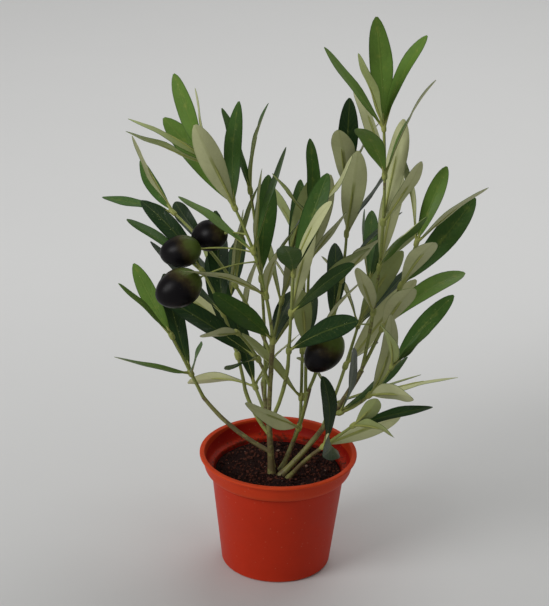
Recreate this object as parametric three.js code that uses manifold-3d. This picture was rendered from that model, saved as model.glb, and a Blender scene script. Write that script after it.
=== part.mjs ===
// An artificial olive plant in a round plastic pot, in millimetres, +Z up.
// The origin is the centre of the pot's flat underside. +Y points away from the side that faces
// the viewer. Every limb is an arc in an upright plane, and leaves stand on the limbs in whorls.

import * as THREE from "three";
import { mergeVertices } from "three/addons/utils/BufferGeometryUtils.js";
import Module from "manifold-3d";

const wasm = await Module();
wasm.setup();

const GAP = 0.3; // clear space between neighbouring nodes

// ---------------------------------------------------------------- pot
const POT_HEIGHT = 68.8;
const POT_FOOT_RADIUS = 31.1;
const POT_SHOULDER_RADIUS = 38.0; // the wall just under the band
const POT_FOOT_ROUND = 1.9;
const POT_WALL = 1.4;
const POT_FLOOR = 2.0;
const BAND_FOOT_RADIUS = 39.6;
const BAND_RADIUS = 43.4; // the band just under the lip
const BAND_HEIGHT = 11.0;
const LIP_RADIUS = 45.0;
const LIP_HEIGHT = 1.5;
const LIP_ROUND = 0.5;
const BAND_ROUND = 4.5; // height over which the band's foot is rounded
const LEDGE_ROUND = 2.4; // of the inside, from the band's wall down to the ledge
const POT_SIDES = 50;
const FOOT_STEPS = 5; // facets of the foot's round edge
const BAND_STEPS = 4; // facets of the band's round foot

// ---------------------------------------------------------------- filling
const SOIL_LEVEL = 56.5;

// ---------------------------------------------------------------- stems and leaves
const LIMB_SIDES = 8;
const LIMB_RINGS = 10;
const ROOT_FLARE = 0.8; // how far a stem's foot is wider than the stem
const ROOT_FLARE_HEIGHT = 4.0;
const ROOT_SINK = 3.0; // how far below the filling's top a foot starts, before it is cut flat
const STALK_RADIUS = 0.6; // of an olive's stalk
const OLIVE_ROOT = 0.04; // part of the olive's length that is sunk on its stalk
const OLIVE_SIDES = 12;
const OLIVE_ROWS = 8;
const SHOOT_SIDES = 5;
const SHOOT_RINGS = 8;
const LEAF_RINGS = 5;
const LEAF_WIDTH = 0.21; // of its length
const LEAF_WIDEST = 1.3; // above 1 moves a leaf's widest place towards its tip
const LEAF_FULLNESS = 0.7; // below 1 makes its outline fuller than a sine's
const LEAF_THICKNESS = 1.1; // at its root
const LEAF_THINNING = 0.5; // part of the thickness that is gone at the tip
const PETIOLE = 0.06; // part of the leaf's length that is stalk
const PETIOLE_WIDTH = 0.06; // of the leaf's width
const LEAF_CLEARANCE = 2.7; // between sample points of leaves and of other nodes
const SAMPLES_ALONG = 18;
const SAMPLES_SKIPPED = 2; // rows of them at the leaf's root, which may stand close to a stem
const SAMPLES_ACROSS = 7;
const SAMPLED_TIP = 0.97; // a leaf is taken to stay as wide as here up to its tip
const SAMPLE_STEP = 2.0; // between sample points on a stem

// How every spray's leaves stand, in millimetres, in degrees and in parts.
const SPRAY_GIRTH = [1.05, 0.75]; // radius of its stem at the foot and at the tip
const WHORL_SPACING = 27;
const LEAVES_A_WHORL = 3;
const TIP_LEAVES = 4; // in the last whorl
const LEAF_LENGTH = 56;
const SPREAD = 46; // of a leaf from its stem
const WHORL_TURN = 90; // from each whorl to the next
const TURN_SCATTER = 25;
const SPREAD_SCATTER = 12;
const TIP_CLOSING = 0.45; // how much less the last whorl spreads
const CURL = 14; // how far a leaf bends along its length
const CURL_SCATTER = 22;
const CURL_BEFORE = 0.35; // part of the curl that turns the leaf's root back towards the stem
const ROLL_SCATTER = 35;
const LENGTH_SCATTER = 0.16;
const WIDTH_SCATTER = 0.1;
const TIP_LEAF = 0.92; // length of the last whorl's leaves, of the others'
const DRAWS_A_LEAF = 7;

const UP = new THREE.Vector3(0, 0, 1);

// Boughs are the stems without leaves of their own. A foot is where a stem stands in the filling
// (x, y); the others start on an earlier stem, at a part of its length. A heading is seen from
// above, in degrees from +X towards +Y. A lean is the angle from upright at the foot and at the
// tip, and a girth is the radius there.
const BOUGHS = [
  {
    name: "trunk", foot: [-3.5, -5],
    heading: 140, lean: [5, 5], length: 35, girth: [1.9, 1.6],
  },
  {
    name: "bough_left", from: "trunk", at: 0.4,
    heading: 165, lean: [70, 40], length: 50, girth: [1.35, 1.2],
  },
  {
    name: "bough_left_inner", from: "trunk", at: 0.7,
    heading: 150, lean: [50, 20], length: 30, girth: [1.2, 1.1],
  },
  {
    name: "bough_centre_left", from: "trunk", at: 1,
    heading: -80, lean: [0, 15], length: 50, girth: [1.4, 1.3],
  },
  {
    name: "bough_centre", from: "trunk", at: 0.9,
    heading: -20, lean: [25, 5], length: 40, girth: [1.2, 1.1],
  },
  {
    name: "stem_right", foot: [2.5, -5],
    heading: 0, lean: [40, 25], length: 80, girth: [1.7, 1.4],
  },
  {
    name: "stem_right_low", foot: [6.5, -8.5],
    heading: -40, lean: [35, 45], length: 35, girth: [1.25, 1.1],
  },
  {
    name: "stem_back", foot: [2, 1],
    heading: 45, lean: [35, 15], length: 50, girth: [1.4, 1.2],
  },
  {
    name: "stem_back_left", foot: [-3, 2],
    heading: 110, lean: [20, 30], length: 50, girth: [1.4, 1.2],
  },
];

// Sprays are the masses of foliage: a stem that goes on from a bough, with whorls of leaves from
// its tip down to the part of its length that is bare. A turn is where its first leaf stands.
const SPRAYS = [
  {
    name: "spray_left_low", from: "bough_left", at: 1,
    heading: 200, lean: [25, 25], length: 45, bare: 0, turn: 0,
  },
  {
    name: "spray_left_inner", from: "bough_left_inner", at: 1,
    heading: 170, lean: [10, 30], length: 75, bare: 0, turn: 30,
  },
  {
    name: "spray_left_top", from: "bough_centre_left", at: 1,
    heading: 170, lean: [5, 35], length: 110, bare: 0, turn: 60,
  },
  {
    name: "spray_left_side", from: "bough_centre_left", at: 0.8,
    heading: 150, lean: [25, 60], length: 100, bare: 0.1, turn: 0,
  },
  {
    name: "spray_left_mid", from: "bough_centre_left", at: 0.4,
    heading: -135, lean: [20, 45], length: 50, bare: 0, turn: 45,
  },
  {
    name: "spray_centre_thin", from: "stem_back_left", at: 0.8,
    heading: 195, lean: [0, 10], length: 130, bare: 0.5, turn: 0,
  },
  {
    name: "spray_back_left_top", from: "stem_back_left", at: 1,
    heading: 65, lean: [35, 15], length: 75, bare: 0, turn: 30,
  },
  {
    name: "spray_centre_front", from: "bough_centre", at: 1,
    heading: -85, lean: [15, 15], length: 65, bare: 0, turn: 60,
  },
  {
    name: "spray_centre_right", from: "stem_back", at: 0.8,
    heading: -85, lean: [-15, 15], length: 115, bare: 0, turn: 0,
  },
  {
    name: "spray_back_top", from: "stem_back", at: 1,
    heading: 55, lean: [40, -10], length: 120, bare: 0.25, turn: 30,
  },
  {
    name: "spray_right_tall", from: "stem_right", at: 1,
    heading: -15, lean: [10, -5], length: 145, bare: 0.15, turn: 0,
  },
  {
    name: "spray_right_outer", from: "stem_right", at: 0.9,
    heading: 5, lean: [25, 15], length: 90, bare: 0.2, turn: 45,
  },
  {
    name: "spray_right_low", from: "stem_right", at: 0.6,
    heading: -40, lean: [60, 25], length: 60, bare: 0.1, turn: 90,
  },
  {
    name: "spray_right_bottom", from: "stem_right_low", at: 1,
    heading: -35, lean: [45, 45], length: 30, bare: 0, turn: 60,
  },
  {
    name: "spray_centre_low", from: "stem_back", at: 0.35,
    heading: -60, lean: [30, 10], length: 40, bare: 0, turn: 30,
  },
  {
    name: "spray_back_right", from: "stem_right", at: 0.45,
    heading: 70, lean: [65, 40], length: 100, bare: 0.1, turn: 45,
  },
  {
    name: "spray_back_mid", from: "stem_back", at: 0.6,
    heading: 90, lean: [25, 45], length: 95, bare: 0.1, turn: 0,
  },
  {
    name: "spray_back_left_low", from: "stem_back_left", at: 0.6,
    heading: 115, lean: [60, 40], length: 75, bare: 0.1, turn: 30,
  },
];

// Olives hang on stalks from a spray's stem.
const OLIVES = [
  { spray: "spray_left_top", at: 0.5, heading: 180, lean: [75, 100], stalk: 30, size: [23, 17] },
  { spray: "spray_left_top", at: 0.45, heading: -155, lean: [85, 110], stalk: 35, size: [27, 20] },
  { spray: "spray_left_top", at: 0.6, heading: 150, lean: [90, 110], stalk: 15, size: [22, 17] },
  { spray: "spray_right_tall", at: 0.2, heading: -170, lean: [75, 140], stalk: 20, size: [27, 19] },
];

const radians = THREE.MathUtils.degToRad;

// A repeatable number from -1 to 1.
function chance(seed, draw) {
  const value = Math.sin(seed * 12.9898 + draw * 78.233) * 43758.5453;
  return (value - Math.floor(value)) * 2 - 1;
}

// A circular arc that starts at a point and turns from the angle "start" to the angle "end",
// both measured from the axis "along" towards the axis "across".
class Arc {
  constructor(origin, along, across, start, end, length) {
    this.origin = origin;
    this.along = along;
    this.across = across;
    this.start = start;
    this.end = Math.abs(end - start) > 1e-4 ? end : start + 1e-4;
    this.length = length;
  }

  angle(t) {
    return this.start + (this.end - this.start) * t;
  }

  at(t) {
    const bend = this.length / (this.end - this.start);
    const angle = this.angle(t);
    return this.origin.clone()
      .addScaledVector(this.along, bend * (Math.sin(angle) - Math.sin(this.start)))
      .addScaledVector(this.across, bend * (Math.cos(this.start) - Math.cos(angle)));
  }

  direction(t) {
    const angle = this.angle(t);
    return this.along.clone().multiplyScalar(Math.cos(angle)).addScaledVector(this.across, Math.sin(angle));
  }

  outward(t) {
    const angle = this.angle(t);
    return this.across.clone().multiplyScalar(Math.cos(angle)).addScaledVector(this.along, -Math.sin(angle));
  }
}

// A stem: an arc in the upright plane of its heading.
function stemArc(origin, stem) {
  const heading = radians(stem.heading);
  const level = new THREE.Vector3(Math.cos(heading), Math.sin(heading), 0);
  const arc = new Arc(origin, UP, level, radians(stem.lean[0]), radians(stem.lean[1]), stem.length);
  arc.side = new THREE.Vector3().crossVectors(UP, level);
  return arc;
}

// ---------------------------------------------------------------- solids

function solidOf(geometry) {
  geometry.deleteAttribute("normal");
  geometry.deleteAttribute("uv");
  const merged = mergeVertices(geometry, 1e-5);
  const vertProperties = new Float32Array(merged.attributes.position.array);
  const triVerts = new Uint32Array(merged.index.array);
  return new wasm.Manifold(new wasm.Mesh({ numProp: 3, vertProperties, triVerts }));
}

// Moves every vertex of a straight shape, whose length runs from 0 to 1 along Y.
function bent(geometry, place) {
  const position = geometry.attributes.position;
  const vertex = new THREE.Vector3();
  for (let i = 0; i < position.count; i += 1) {
    vertex.fromBufferAttribute(position, i);
    const moved = place(vertex.x, vertex.y + 0.5, vertex.z);
    position.setXYZ(i, moved.x, moved.y, moved.z);
  }
  return solidOf(geometry);
}

// A round bar along an arc from t = from to t = to, with the radius given along it.
function bar(arc, radiusAt, sides, rings, from = 0, to = 1) {
  return bent(new THREE.CylinderGeometry(1, 1, 1, sides, rings), (x, y, z) => {
    const t = from + (to - from) * y;
    const radius = radiusAt(t);
    return arc.at(t)
      .addScaledVector(arc.side, x * radius)
      .addScaledVector(arc.outward(t), z * radius);
  });
}

function meshOf(name, solid, material) {
  const { vertProperties, triVerts } = solid.getMesh();
  const geometry = new THREE.BufferGeometry();
  geometry.setAttribute("position", new THREE.BufferAttribute(new Float32Array(vertProperties), 3));
  geometry.setIndex(new THREE.BufferAttribute(new Uint32Array(triVerts), 1));
  geometry.computeVertexNormals();
  const mesh = new THREE.Mesh(geometry, material);
  mesh.name = name;
  return mesh;
}

// ---------------------------------------------------------------- pot and filling

function turned(points) {
  const geometry = new THREE.LatheGeometry(points, POT_SIDES);
  geometry.rotateX(Math.PI / 2);
  return geometry;
}

// Points of a quarter round that starts flat below its centre and ends upright beside it.
function quarterRound(centreX, centreY, radius, steps) {
  const points = [];
  for (let i = 0; i <= steps; i += 1) {
    const angle = (Math.PI / 2) * (i / steps - 1);
    points.push(new THREE.Vector2(centreX + radius * Math.cos(angle), centreY + radius * Math.sin(angle)));
  }
  return points;
}

const BAND_FOOT = POT_HEIGHT - BAND_HEIGHT;
const LEDGE_LEVEL = BAND_FOOT + POT_WALL;

// Inner radius of the wall below the ledge.
function insideRadius(z) {
  const taper = (POT_SHOULDER_RADIUS - POT_FOOT_RADIUS) / BAND_FOOT;
  return POT_FOOT_RADIUS + taper * z - POT_WALL;
}

function potGeometry() {
  const bandRound = new THREE.QuadraticBezierCurve(
    new THREE.Vector2(BAND_FOOT_RADIUS, BAND_FOOT),
    new THREE.Vector2(BAND_RADIUS - LIP_HEIGHT, BAND_FOOT + LIP_ROUND),
    new THREE.Vector2(BAND_RADIUS - 2 * LIP_ROUND, BAND_FOOT + BAND_ROUND),
  ).getPoints(BAND_STEPS);
  const lipFoot = POT_HEIGHT - LIP_HEIGHT;
  const innerBand = BAND_RADIUS - POT_WALL;
  const ledgeFoot = innerBand - LEDGE_ROUND;
  const points = [
    new THREE.Vector2(0, 0),
    ...quarterRound(POT_FOOT_RADIUS - POT_FOOT_ROUND, POT_FOOT_ROUND, POT_FOOT_ROUND, FOOT_STEPS),
    new THREE.Vector2(POT_SHOULDER_RADIUS, BAND_FOOT),
    ...bandRound,
    new THREE.Vector2(BAND_RADIUS, lipFoot - LIP_ROUND),
    new THREE.Vector2(LIP_RADIUS - LIP_ROUND / 2, lipFoot),
    new THREE.Vector2(LIP_RADIUS, lipFoot + LIP_ROUND / 2),
    new THREE.Vector2(LIP_RADIUS, POT_HEIGHT - LIP_ROUND),
    new THREE.Vector2(LIP_RADIUS - LIP_ROUND, POT_HEIGHT),
    new THREE.Vector2(innerBand + LIP_ROUND, POT_HEIGHT),
    new THREE.Vector2(innerBand, POT_HEIGHT - LIP_ROUND),
    new THREE.Vector2(innerBand - 2 * LIP_ROUND, LEDGE_LEVEL + BAND_ROUND),
    new THREE.Vector2(ledgeFoot, LEDGE_LEVEL + LIP_ROUND),
    new THREE.Vector2(ledgeFoot - 2 * LIP_ROUND, LEDGE_LEVEL),
    new THREE.Vector2(insideRadius(LEDGE_LEVEL), LEDGE_LEVEL),
    new THREE.Vector2(insideRadius(POT_FLOOR), POT_FLOOR),
    new THREE.Vector2(0, POT_FLOOR),
  ];
  return turned(points);
}

function soilGeometry() {
  const foot = POT_FLOOR + GAP;
  return turned([
    new THREE.Vector2(0, foot),
    new THREE.Vector2(insideRadius(foot) - GAP, foot),
    new THREE.Vector2(insideRadius(SOIL_LEVEL) - GAP, SOIL_LEVEL),
    new THREE.Vector2(0, SOIL_LEVEL),
  ]);
}

// What the stems' feet are cut off by: the filling, and the gap above it.
function groundCutter() {
  const height = SOIL_LEVEL + GAP;
  const geometry = new THREE.CylinderGeometry(POT_FOOT_RADIUS, POT_FOOT_RADIUS, height, POT_SIDES);
  geometry.rotateX(Math.PI / 2);
  geometry.translate(0, 0, height / 2);
  return solidOf(geometry);
}

// ---------------------------------------------------------------- the plan of the plant

const stems = new Map();

function startOf(stem) {
  if (stem.foot) return new THREE.Vector3(stem.foot[0], stem.foot[1], SOIL_LEVEL);
  return stems.get(stem.from).arc.at(stem.at);
}

for (const bough of BOUGHS) {
  stems.set(bough.name, { ...bough, arc: stemArc(startOf(bough), bough) });
}
// A spray's seed is its place in the list, from 1.
SPRAYS.forEach((spray, place) => {
  const arc = stemArc(startOf(spray), spray);
  stems.set(spray.name, { ...spray, girth: SPRAY_GIRTH, seed: place + 1, arc });
});

// Where a spray's whorls stand, as parts of its length: from its tip down to the bare part.
function whorlsOf(spray) {
  const leafy = spray.length * (1 - spray.bare);
  const count = 1 + Math.floor(leafy / WHORL_SPACING);
  return Array.from({ length: count }, (_, i) => 1 - ((count - 1 - i) * WHORL_SPACING) / spray.length);
}

// Half of a leaf's width at a part of its length, as a part of its full half width.
function leafOutline(t) {
  const blade = Math.max(0, Math.min(1, (t - PETIOLE) / (1 - PETIOLE)));
  return Math.max(PETIOLE_WIDTH, Math.sin(Math.PI * blade ** LEAF_WIDEST) ** LEAF_FULLNESS);
}

// The leaves of a spray, each as its midrib's arc, its roll about the midrib and its width.
function leavesOf(spray) {
  const leaves = [];
  const arc = spray.arc;
  const places = whorlsOf(spray);
  places.forEach((place, whorl) => {
    const last = whorl === places.length - 1;
    const count = last ? TIP_LEAVES : LEAVES_A_WHORL;
    for (let i = 0; i < count; i += 1) {
      const draw = (channel) => chance(spray.seed, leaves.length * DRAWS_A_LEAF + channel);
      const turn = radians(spray.turn + whorl * WHORL_TURN + (i * 360) / count + TURN_SCATTER * draw(0));
      const spread = radians(SPREAD * (1 - TIP_CLOSING * place) + SPREAD_SCATTER * draw(1));
      const curl = radians(CURL + CURL_SCATTER * draw(2));
      const length = LEAF_LENGTH * (1 + LENGTH_SCATTER * draw(3)) * (last ? TIP_LEAF : 1);
      const away = arc.outward(place).multiplyScalar(Math.cos(turn));
      away.addScaledVector(arc.side, Math.sin(turn));
      const start = spread - CURL_BEFORE * curl;
      const midrib = new Arc(arc.at(place), arc.direction(place), away, start, start + curl, length);
      const width = length * LEAF_WIDTH * (1 + WIDTH_SCATTER * draw(5));
      leaves.push({ midrib, roll: radians(ROLL_SCATTER * draw(4)), width });
    }
  });
  return leaves;
}

// The directions across a leaf and out of its upper face.
function leafFrame(leaf, t) {
  const along = leaf.midrib.direction(t);
  const up = leaf.midrib.outward(t).negate();
  const across = new THREE.Vector3().crossVectors(along, up);
  across.multiplyScalar(Math.cos(leaf.roll)).addScaledVector(up, Math.sin(leaf.roll));
  return { across, up: new THREE.Vector3().crossVectors(across, along) };
}

function leafSolid(leaf) {
  const cone = new THREE.CylinderGeometry(0, 1, 1, 4, LEAF_RINGS);
  return bent(cone, (x, t, z) => {
    const { across, up } = leafFrame(leaf, t);
    const unit = Math.max(1e-9, Math.hypot(x, z));
    const halfWidth = (leafOutline(t) * leaf.width) / 2;
    const halfThickness = (LEAF_THICKNESS * (1 - LEAF_THINNING * t)) / 2;
    return leaf.midrib.at(t)
      .addScaledVector(across, (halfWidth * x) / unit)
      .addScaledVector(up, (halfThickness * z) / unit);
  });
}

// Points spread over a leaf, by which it is kept clear of other nodes. Its root isn't tested.
function leafSamples(leaf) {
  const points = [];
  for (let i = SAMPLES_SKIPPED; i <= SAMPLES_ALONG; i += 1) {
    const t = i / SAMPLES_ALONG;
    const { across } = leafFrame(leaf, t);
    const halfWidth = (leafOutline(Math.min(t, SAMPLED_TIP)) * leaf.width) / 2;
    for (let j = 0; j < SAMPLES_ACROSS; j += 1) {
      const side = (2 * j) / (SAMPLES_ACROSS - 1) - 1;
      points.push(leaf.midrib.at(t).addScaledVector(across, side * halfWidth));
    }
  }
  return points;
}

const taken = []; // sample points of what stands already, each with its node's name

function claim(owner, points) {
  for (const point of points) taken.push({ owner, point });
}

function isClear(owner, points) {
  const potClear = LIP_RADIUS + LEAF_CLEARANCE;
  return points.every((point) => {
    const overPot = Math.hypot(point.x, point.y) < potClear && point.z < POT_HEIGHT + LEAF_THICKNESS;
    if (overPot) return false;
    return taken.every((other) => other.owner === owner || other.point.distanceTo(point) > LEAF_CLEARANCE);
  });
}

// ---------------------------------------------------------------- limbs, sprays and fruit

const taper = (girth) => (t) => girth[0] + (girth[1] - girth[0]) * t;

// A rooted stem starts below the filling's top, is flared there, and is cut flat above it.
function limbSolid(stem, grow = 0) {
  const rooted = Boolean(stem.foot);
  const sink = rooted ? ROOT_SINK / stem.length : 0;
  const plain = taper(stem.girth);
  const height = (t) => Math.max(0, t * stem.length);
  const flare = (t) => (rooted ? ROOT_FLARE * Math.exp(-height(t) / ROOT_FLARE_HEIGHT) : 0);
  const radiusAt = (t) => plain(t) + flare(t) + grow;
  return bar(stem.arc, radiusAt, LIMB_SIDES, LIMB_RINGS, -sink, 1 + grow / stem.length);
}

// An olive's stalk is an arc from the stem, and the fruit goes on along it.
function stalkOf(olive) {
  return stemArc(stems.get(olive.spray).arc.at(olive.at), { ...olive, length: olive.stalk });
}

// A sphere's vertex on the olive: the sphere's radius is half, and its axis is the stalk's.
function onOlive(olive, stalk, x, t, z) {
  return stalk.at(1)
    .addScaledVector(stalk.direction(1), (t - OLIVE_ROOT) * olive.size[0])
    .addScaledVector(stalk.side, x * olive.size[1])
    .addScaledVector(stalk.outward(1), z * olive.size[1]);
}

function oliveSolid(olive) {
  const stalk = stalkOf(olive);
  const sphere = new THREE.SphereGeometry(0.5, OLIVE_SIDES, OLIVE_ROWS);
  const fruit = bent(sphere, (x, t, z) => onOlive(olive, stalk, x, t, z));
  return wasm.Manifold.union([bar(stalk, () => STALK_RADIUS, SHOOT_SIDES, SHOOT_RINGS), fruit]);
}

function oliveSamples(olive) {
  const stalk = stalkOf(olive);
  const points = samplesAlong(stalk);
  const position = new THREE.SphereGeometry(0.5, OLIVE_SIDES, OLIVE_ROWS).attributes.position;
  for (let i = 0; i < position.count; i += 1) {
    points.push(onOlive(olive, stalk, position.getX(i), position.getY(i) + 0.5, position.getZ(i)));
  }
  return points;
}

function samplesAlong(arc) {
  const count = Math.max(2, Math.ceil(arc.length / SAMPLE_STEP));
  return Array.from({ length: count + 1 }, (_, i) => arc.at(i / count));
}

for (const stem of stems.values()) claim(stem.name, samplesAlong(stem.arc));
for (const olive of OLIVES) claim(olive.spray, oliveSamples(olive));

const ground = groundCutter();
const boughMaterial = new THREE.MeshStandardMaterial({ color: "#6f6a3c", roughness: 0.62, metalness: 0 });
const leafMaterial = new THREE.MeshStandardMaterial({ color: "#3f5b35", roughness: 0.5, metalness: 0 });
const potMaterial = new THREE.MeshStandardMaterial({ color: "#a83a20", roughness: 0.42, metalness: 0 });
const soilMaterial = new THREE.MeshStandardMaterial({ color: "#2b211c", roughness: 0.95, metalness: 0 });

const plant = new THREE.Group();
plant.add(meshOf("pot", solidOf(potGeometry()), potMaterial));
plant.add(meshOf("soil", solidOf(soilGeometry()), soilMaterial));

// Each new node is cut by the grown stems before it, which leaves the gap between two nodes.
const grown = [ground];

// The largest body of a solid: what a cut leaves loose is dropped.
function cutClear(solid) {
  const bodies = solid.subtract(wasm.Manifold.union(grown)).decompose();
  return bodies.reduce((largest, body) => (body.volume() > largest.volume() ? body : largest));
}

for (const bough of BOUGHS) {
  const stem = stems.get(bough.name);
  plant.add(meshOf(bough.name, cutClear(limbSolid(stem)), boughMaterial));
  grown.push(limbSolid(stem, GAP));
}

for (const spray of SPRAYS) {
  const stem = stems.get(spray.name);
  const pieces = [bar(stem.arc, taper(stem.girth), SHOOT_SIDES, SHOOT_RINGS)];
  for (const olive of OLIVES) {
    if (olive.spray === spray.name) pieces.push(oliveSolid(olive));
  }
  for (const leaf of leavesOf(stem)) {
    const samples = leafSamples(leaf);
    if (isClear(spray.name, samples)) {
      pieces.push(leafSolid(leaf));
      claim(spray.name, samples);
    }
  }
  plant.add(meshOf(spray.name, cutClear(wasm.Manifold.union(pieces)), leafMaterial));
  grown.push(bar(stem.arc, (t) => taper(stem.girth)(t) + GAP, SHOOT_SIDES, SHOOT_RINGS));
}

export default plant;
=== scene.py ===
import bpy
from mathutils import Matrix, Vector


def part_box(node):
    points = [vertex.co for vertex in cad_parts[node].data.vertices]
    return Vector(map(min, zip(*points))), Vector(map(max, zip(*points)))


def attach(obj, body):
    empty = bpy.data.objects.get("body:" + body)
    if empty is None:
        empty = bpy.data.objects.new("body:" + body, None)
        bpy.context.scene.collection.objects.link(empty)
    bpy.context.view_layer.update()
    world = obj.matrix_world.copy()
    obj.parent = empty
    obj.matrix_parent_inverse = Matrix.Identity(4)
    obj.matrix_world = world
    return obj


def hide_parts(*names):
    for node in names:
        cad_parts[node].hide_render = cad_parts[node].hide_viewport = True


bl_info = {
    "name": "Olive Plant in a Pot",
    "version": (1, 0, 0),
    "blender": (4, 5, 0),
    "location": "View3D > Sidebar > Olive Plant",
    "description": "Dresses the solids of an artificial olive plant in a round plastic pot",
    "category": "Add Mesh",
}

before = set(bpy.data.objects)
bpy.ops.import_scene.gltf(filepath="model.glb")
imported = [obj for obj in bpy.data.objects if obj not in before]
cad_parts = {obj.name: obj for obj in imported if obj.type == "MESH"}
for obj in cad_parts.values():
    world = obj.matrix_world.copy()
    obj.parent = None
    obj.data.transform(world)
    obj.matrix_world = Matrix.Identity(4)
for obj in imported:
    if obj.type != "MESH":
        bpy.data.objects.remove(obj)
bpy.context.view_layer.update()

import math
from functools import partial

import bmesh
import bpy
import numpy as np
from bpy.props import FloatProperty, FloatVectorProperty, IntProperty, PointerProperty
from mathutils import Matrix, Vector, noise

MM = 0.001
POT_LOW, POT_HIGH = (Vector(corner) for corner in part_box("pot"))
SOIL_HIGH = Vector(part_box("soil")[1])
UP = Vector((0.0, 0.0, 1.0))

# ---------------------------------------------------------------- the plan of the plant
# Lengths in this plan are millimetres, and angles are degrees. A foot is where a stem stands in
# the filling; the others start on an earlier stem, at a part of its length. A heading is seen from
# above, from +X towards +Y. A lean is the angle from upright at the foot and at the tip, and a
# girth is the radius there. The bare part of a spray has no leaves, and its turn is where its lowest
# whorl starts. An olive's size is its length and its width.

BOUGHS = [
    {
        "name": "trunk", "foot": [-3.5, -5], "heading": 140, "lean": [5, 5], "length": 35,
        "girth": [1.9, 1.6],
    },
    {
        "name": "bough_left", "from": "trunk", "at": 0.4, "heading": 165, "lean": [70, 40], "length": 50,
        "girth": [1.35, 1.2],
    },
    {
        "name": "bough_left_inner", "from": "trunk", "at": 0.7, "heading": 150, "lean": [50, 20],
        "length": 30, "girth": [1.2, 1.1],
    },
    {
        "name": "bough_centre_left", "from": "trunk", "at": 1, "heading": -80, "lean": [0, 15],
        "length": 50, "girth": [1.4, 1.3],
    },
    {
        "name": "bough_centre", "from": "trunk", "at": 0.9, "heading": -20, "lean": [25, 5],
        "length": 40, "girth": [1.2, 1.1],
    },
    {
        "name": "stem_right", "foot": [2.5, -5], "heading": 0, "lean": [40, 25], "length": 80,
        "girth": [1.7, 1.4],
    },
    {
        "name": "stem_right_low", "foot": [6.5, -8.5], "heading": -40, "lean": [35, 45], "length": 35,
        "girth": [1.25, 1.1],
    },
    {
        "name": "stem_back", "foot": [2, 1], "heading": 45, "lean": [35, 15], "length": 50,
        "girth": [1.4, 1.2],
    },
    {
        "name": "stem_back_left", "foot": [-3, 2], "heading": 110, "lean": [20, 30], "length": 50,
        "girth": [1.4, 1.2],
    },
]

SPRAYS = [
    {
        "name": "spray_left_low", "from": "bough_left", "at": 1, "heading": 200, "lean": [25, 25],
        "length": 45, "bare": 0, "turn": 0,
    },
    {
        "name": "spray_left_inner", "from": "bough_left_inner", "at": 1, "heading": 170,
        "lean": [10, 30], "length": 75, "bare": 0, "turn": 30,
    },
    {
        "name": "spray_left_top", "from": "bough_centre_left", "at": 1, "heading": 170, "lean": [5, 35],
        "length": 110, "bare": 0, "turn": 60,
    },
    {
        "name": "spray_left_side", "from": "bough_centre_left", "at": 0.8, "heading": 150,
        "lean": [25, 60], "length": 100, "bare": 0.1, "turn": 0,
    },
    {
        "name": "spray_left_mid", "from": "bough_centre_left", "at": 0.4, "heading": -135,
        "lean": [20, 45], "length": 50, "bare": 0, "turn": 45,
    },
    {
        "name": "spray_centre_thin", "from": "stem_back_left", "at": 0.8, "heading": 195,
        "lean": [0, 10], "length": 130, "bare": 0.5, "turn": 0,
    },
    {
        "name": "spray_back_left_top", "from": "stem_back_left", "at": 1, "heading": 65,
        "lean": [35, 15], "length": 75, "bare": 0, "turn": 30,
    },
    {
        "name": "spray_centre_front", "from": "bough_centre", "at": 1, "heading": -85, "lean": [15, 15],
        "length": 65, "bare": 0, "turn": 60,
    },
    {
        "name": "spray_centre_right", "from": "stem_back", "at": 0.8, "heading": -85, "lean": [-15, 15],
        "length": 115, "bare": 0, "turn": 0,
    },
    {
        "name": "spray_back_top", "from": "stem_back", "at": 1, "heading": 55, "lean": [40, -10],
        "length": 120, "bare": 0.25, "turn": 30,
    },
    {
        "name": "spray_right_tall", "from": "stem_right", "at": 1, "heading": -15, "lean": [10, -5],
        "length": 145, "bare": 0.15, "turn": 0,
    },
    {
        "name": "spray_right_outer", "from": "stem_right", "at": 0.9, "heading": 5, "lean": [25, 15],
        "length": 90, "bare": 0.2, "turn": 45,
    },
    {
        "name": "spray_right_low", "from": "stem_right", "at": 0.6, "heading": -40, "lean": [60, 25],
        "length": 60, "bare": 0.1, "turn": 90,
    },
    {
        "name": "spray_right_bottom", "from": "stem_right_low", "at": 1, "heading": -35,
        "lean": [45, 45], "length": 30, "bare": 0, "turn": 60,
    },
    {
        "name": "spray_centre_low", "from": "stem_back", "at": 0.35, "heading": -60, "lean": [30, 10],
        "length": 40, "bare": 0, "turn": 30,
    },
    {
        "name": "spray_back_right", "from": "stem_right", "at": 0.45, "heading": 70, "lean": [65, 40],
        "length": 100, "bare": 0.1, "turn": 45,
    },
    {
        "name": "spray_back_mid", "from": "stem_back", "at": 0.6, "heading": 90, "lean": [25, 45],
        "length": 95, "bare": 0.1, "turn": 0,
    },
    {
        "name": "spray_back_left_low", "from": "stem_back_left", "at": 0.6, "heading": 115,
        "lean": [60, 40], "length": 75, "bare": 0.1, "turn": 30,
    },
]

OLIVES = [
    {
        "spray": "spray_left_top", "at": 0.5, "heading": 180, "lean": [75, 100], "stalk": 30,
        "size": [23, 17],
    },
    {
        "spray": "spray_left_top", "at": 0.45, "heading": -155, "lean": [85, 110], "stalk": 35,
        "size": [27, 20],
    },
    {
        "spray": "spray_left_top", "at": 0.6, "heading": 150, "lean": [90, 110], "stalk": 15,
        "size": [22, 17],
    },
    {
        "spray": "spray_right_tall", "at": 0.2, "heading": -170, "lean": [75, 140], "stalk": 20,
        "size": [27, 19],
    },
]

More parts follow.
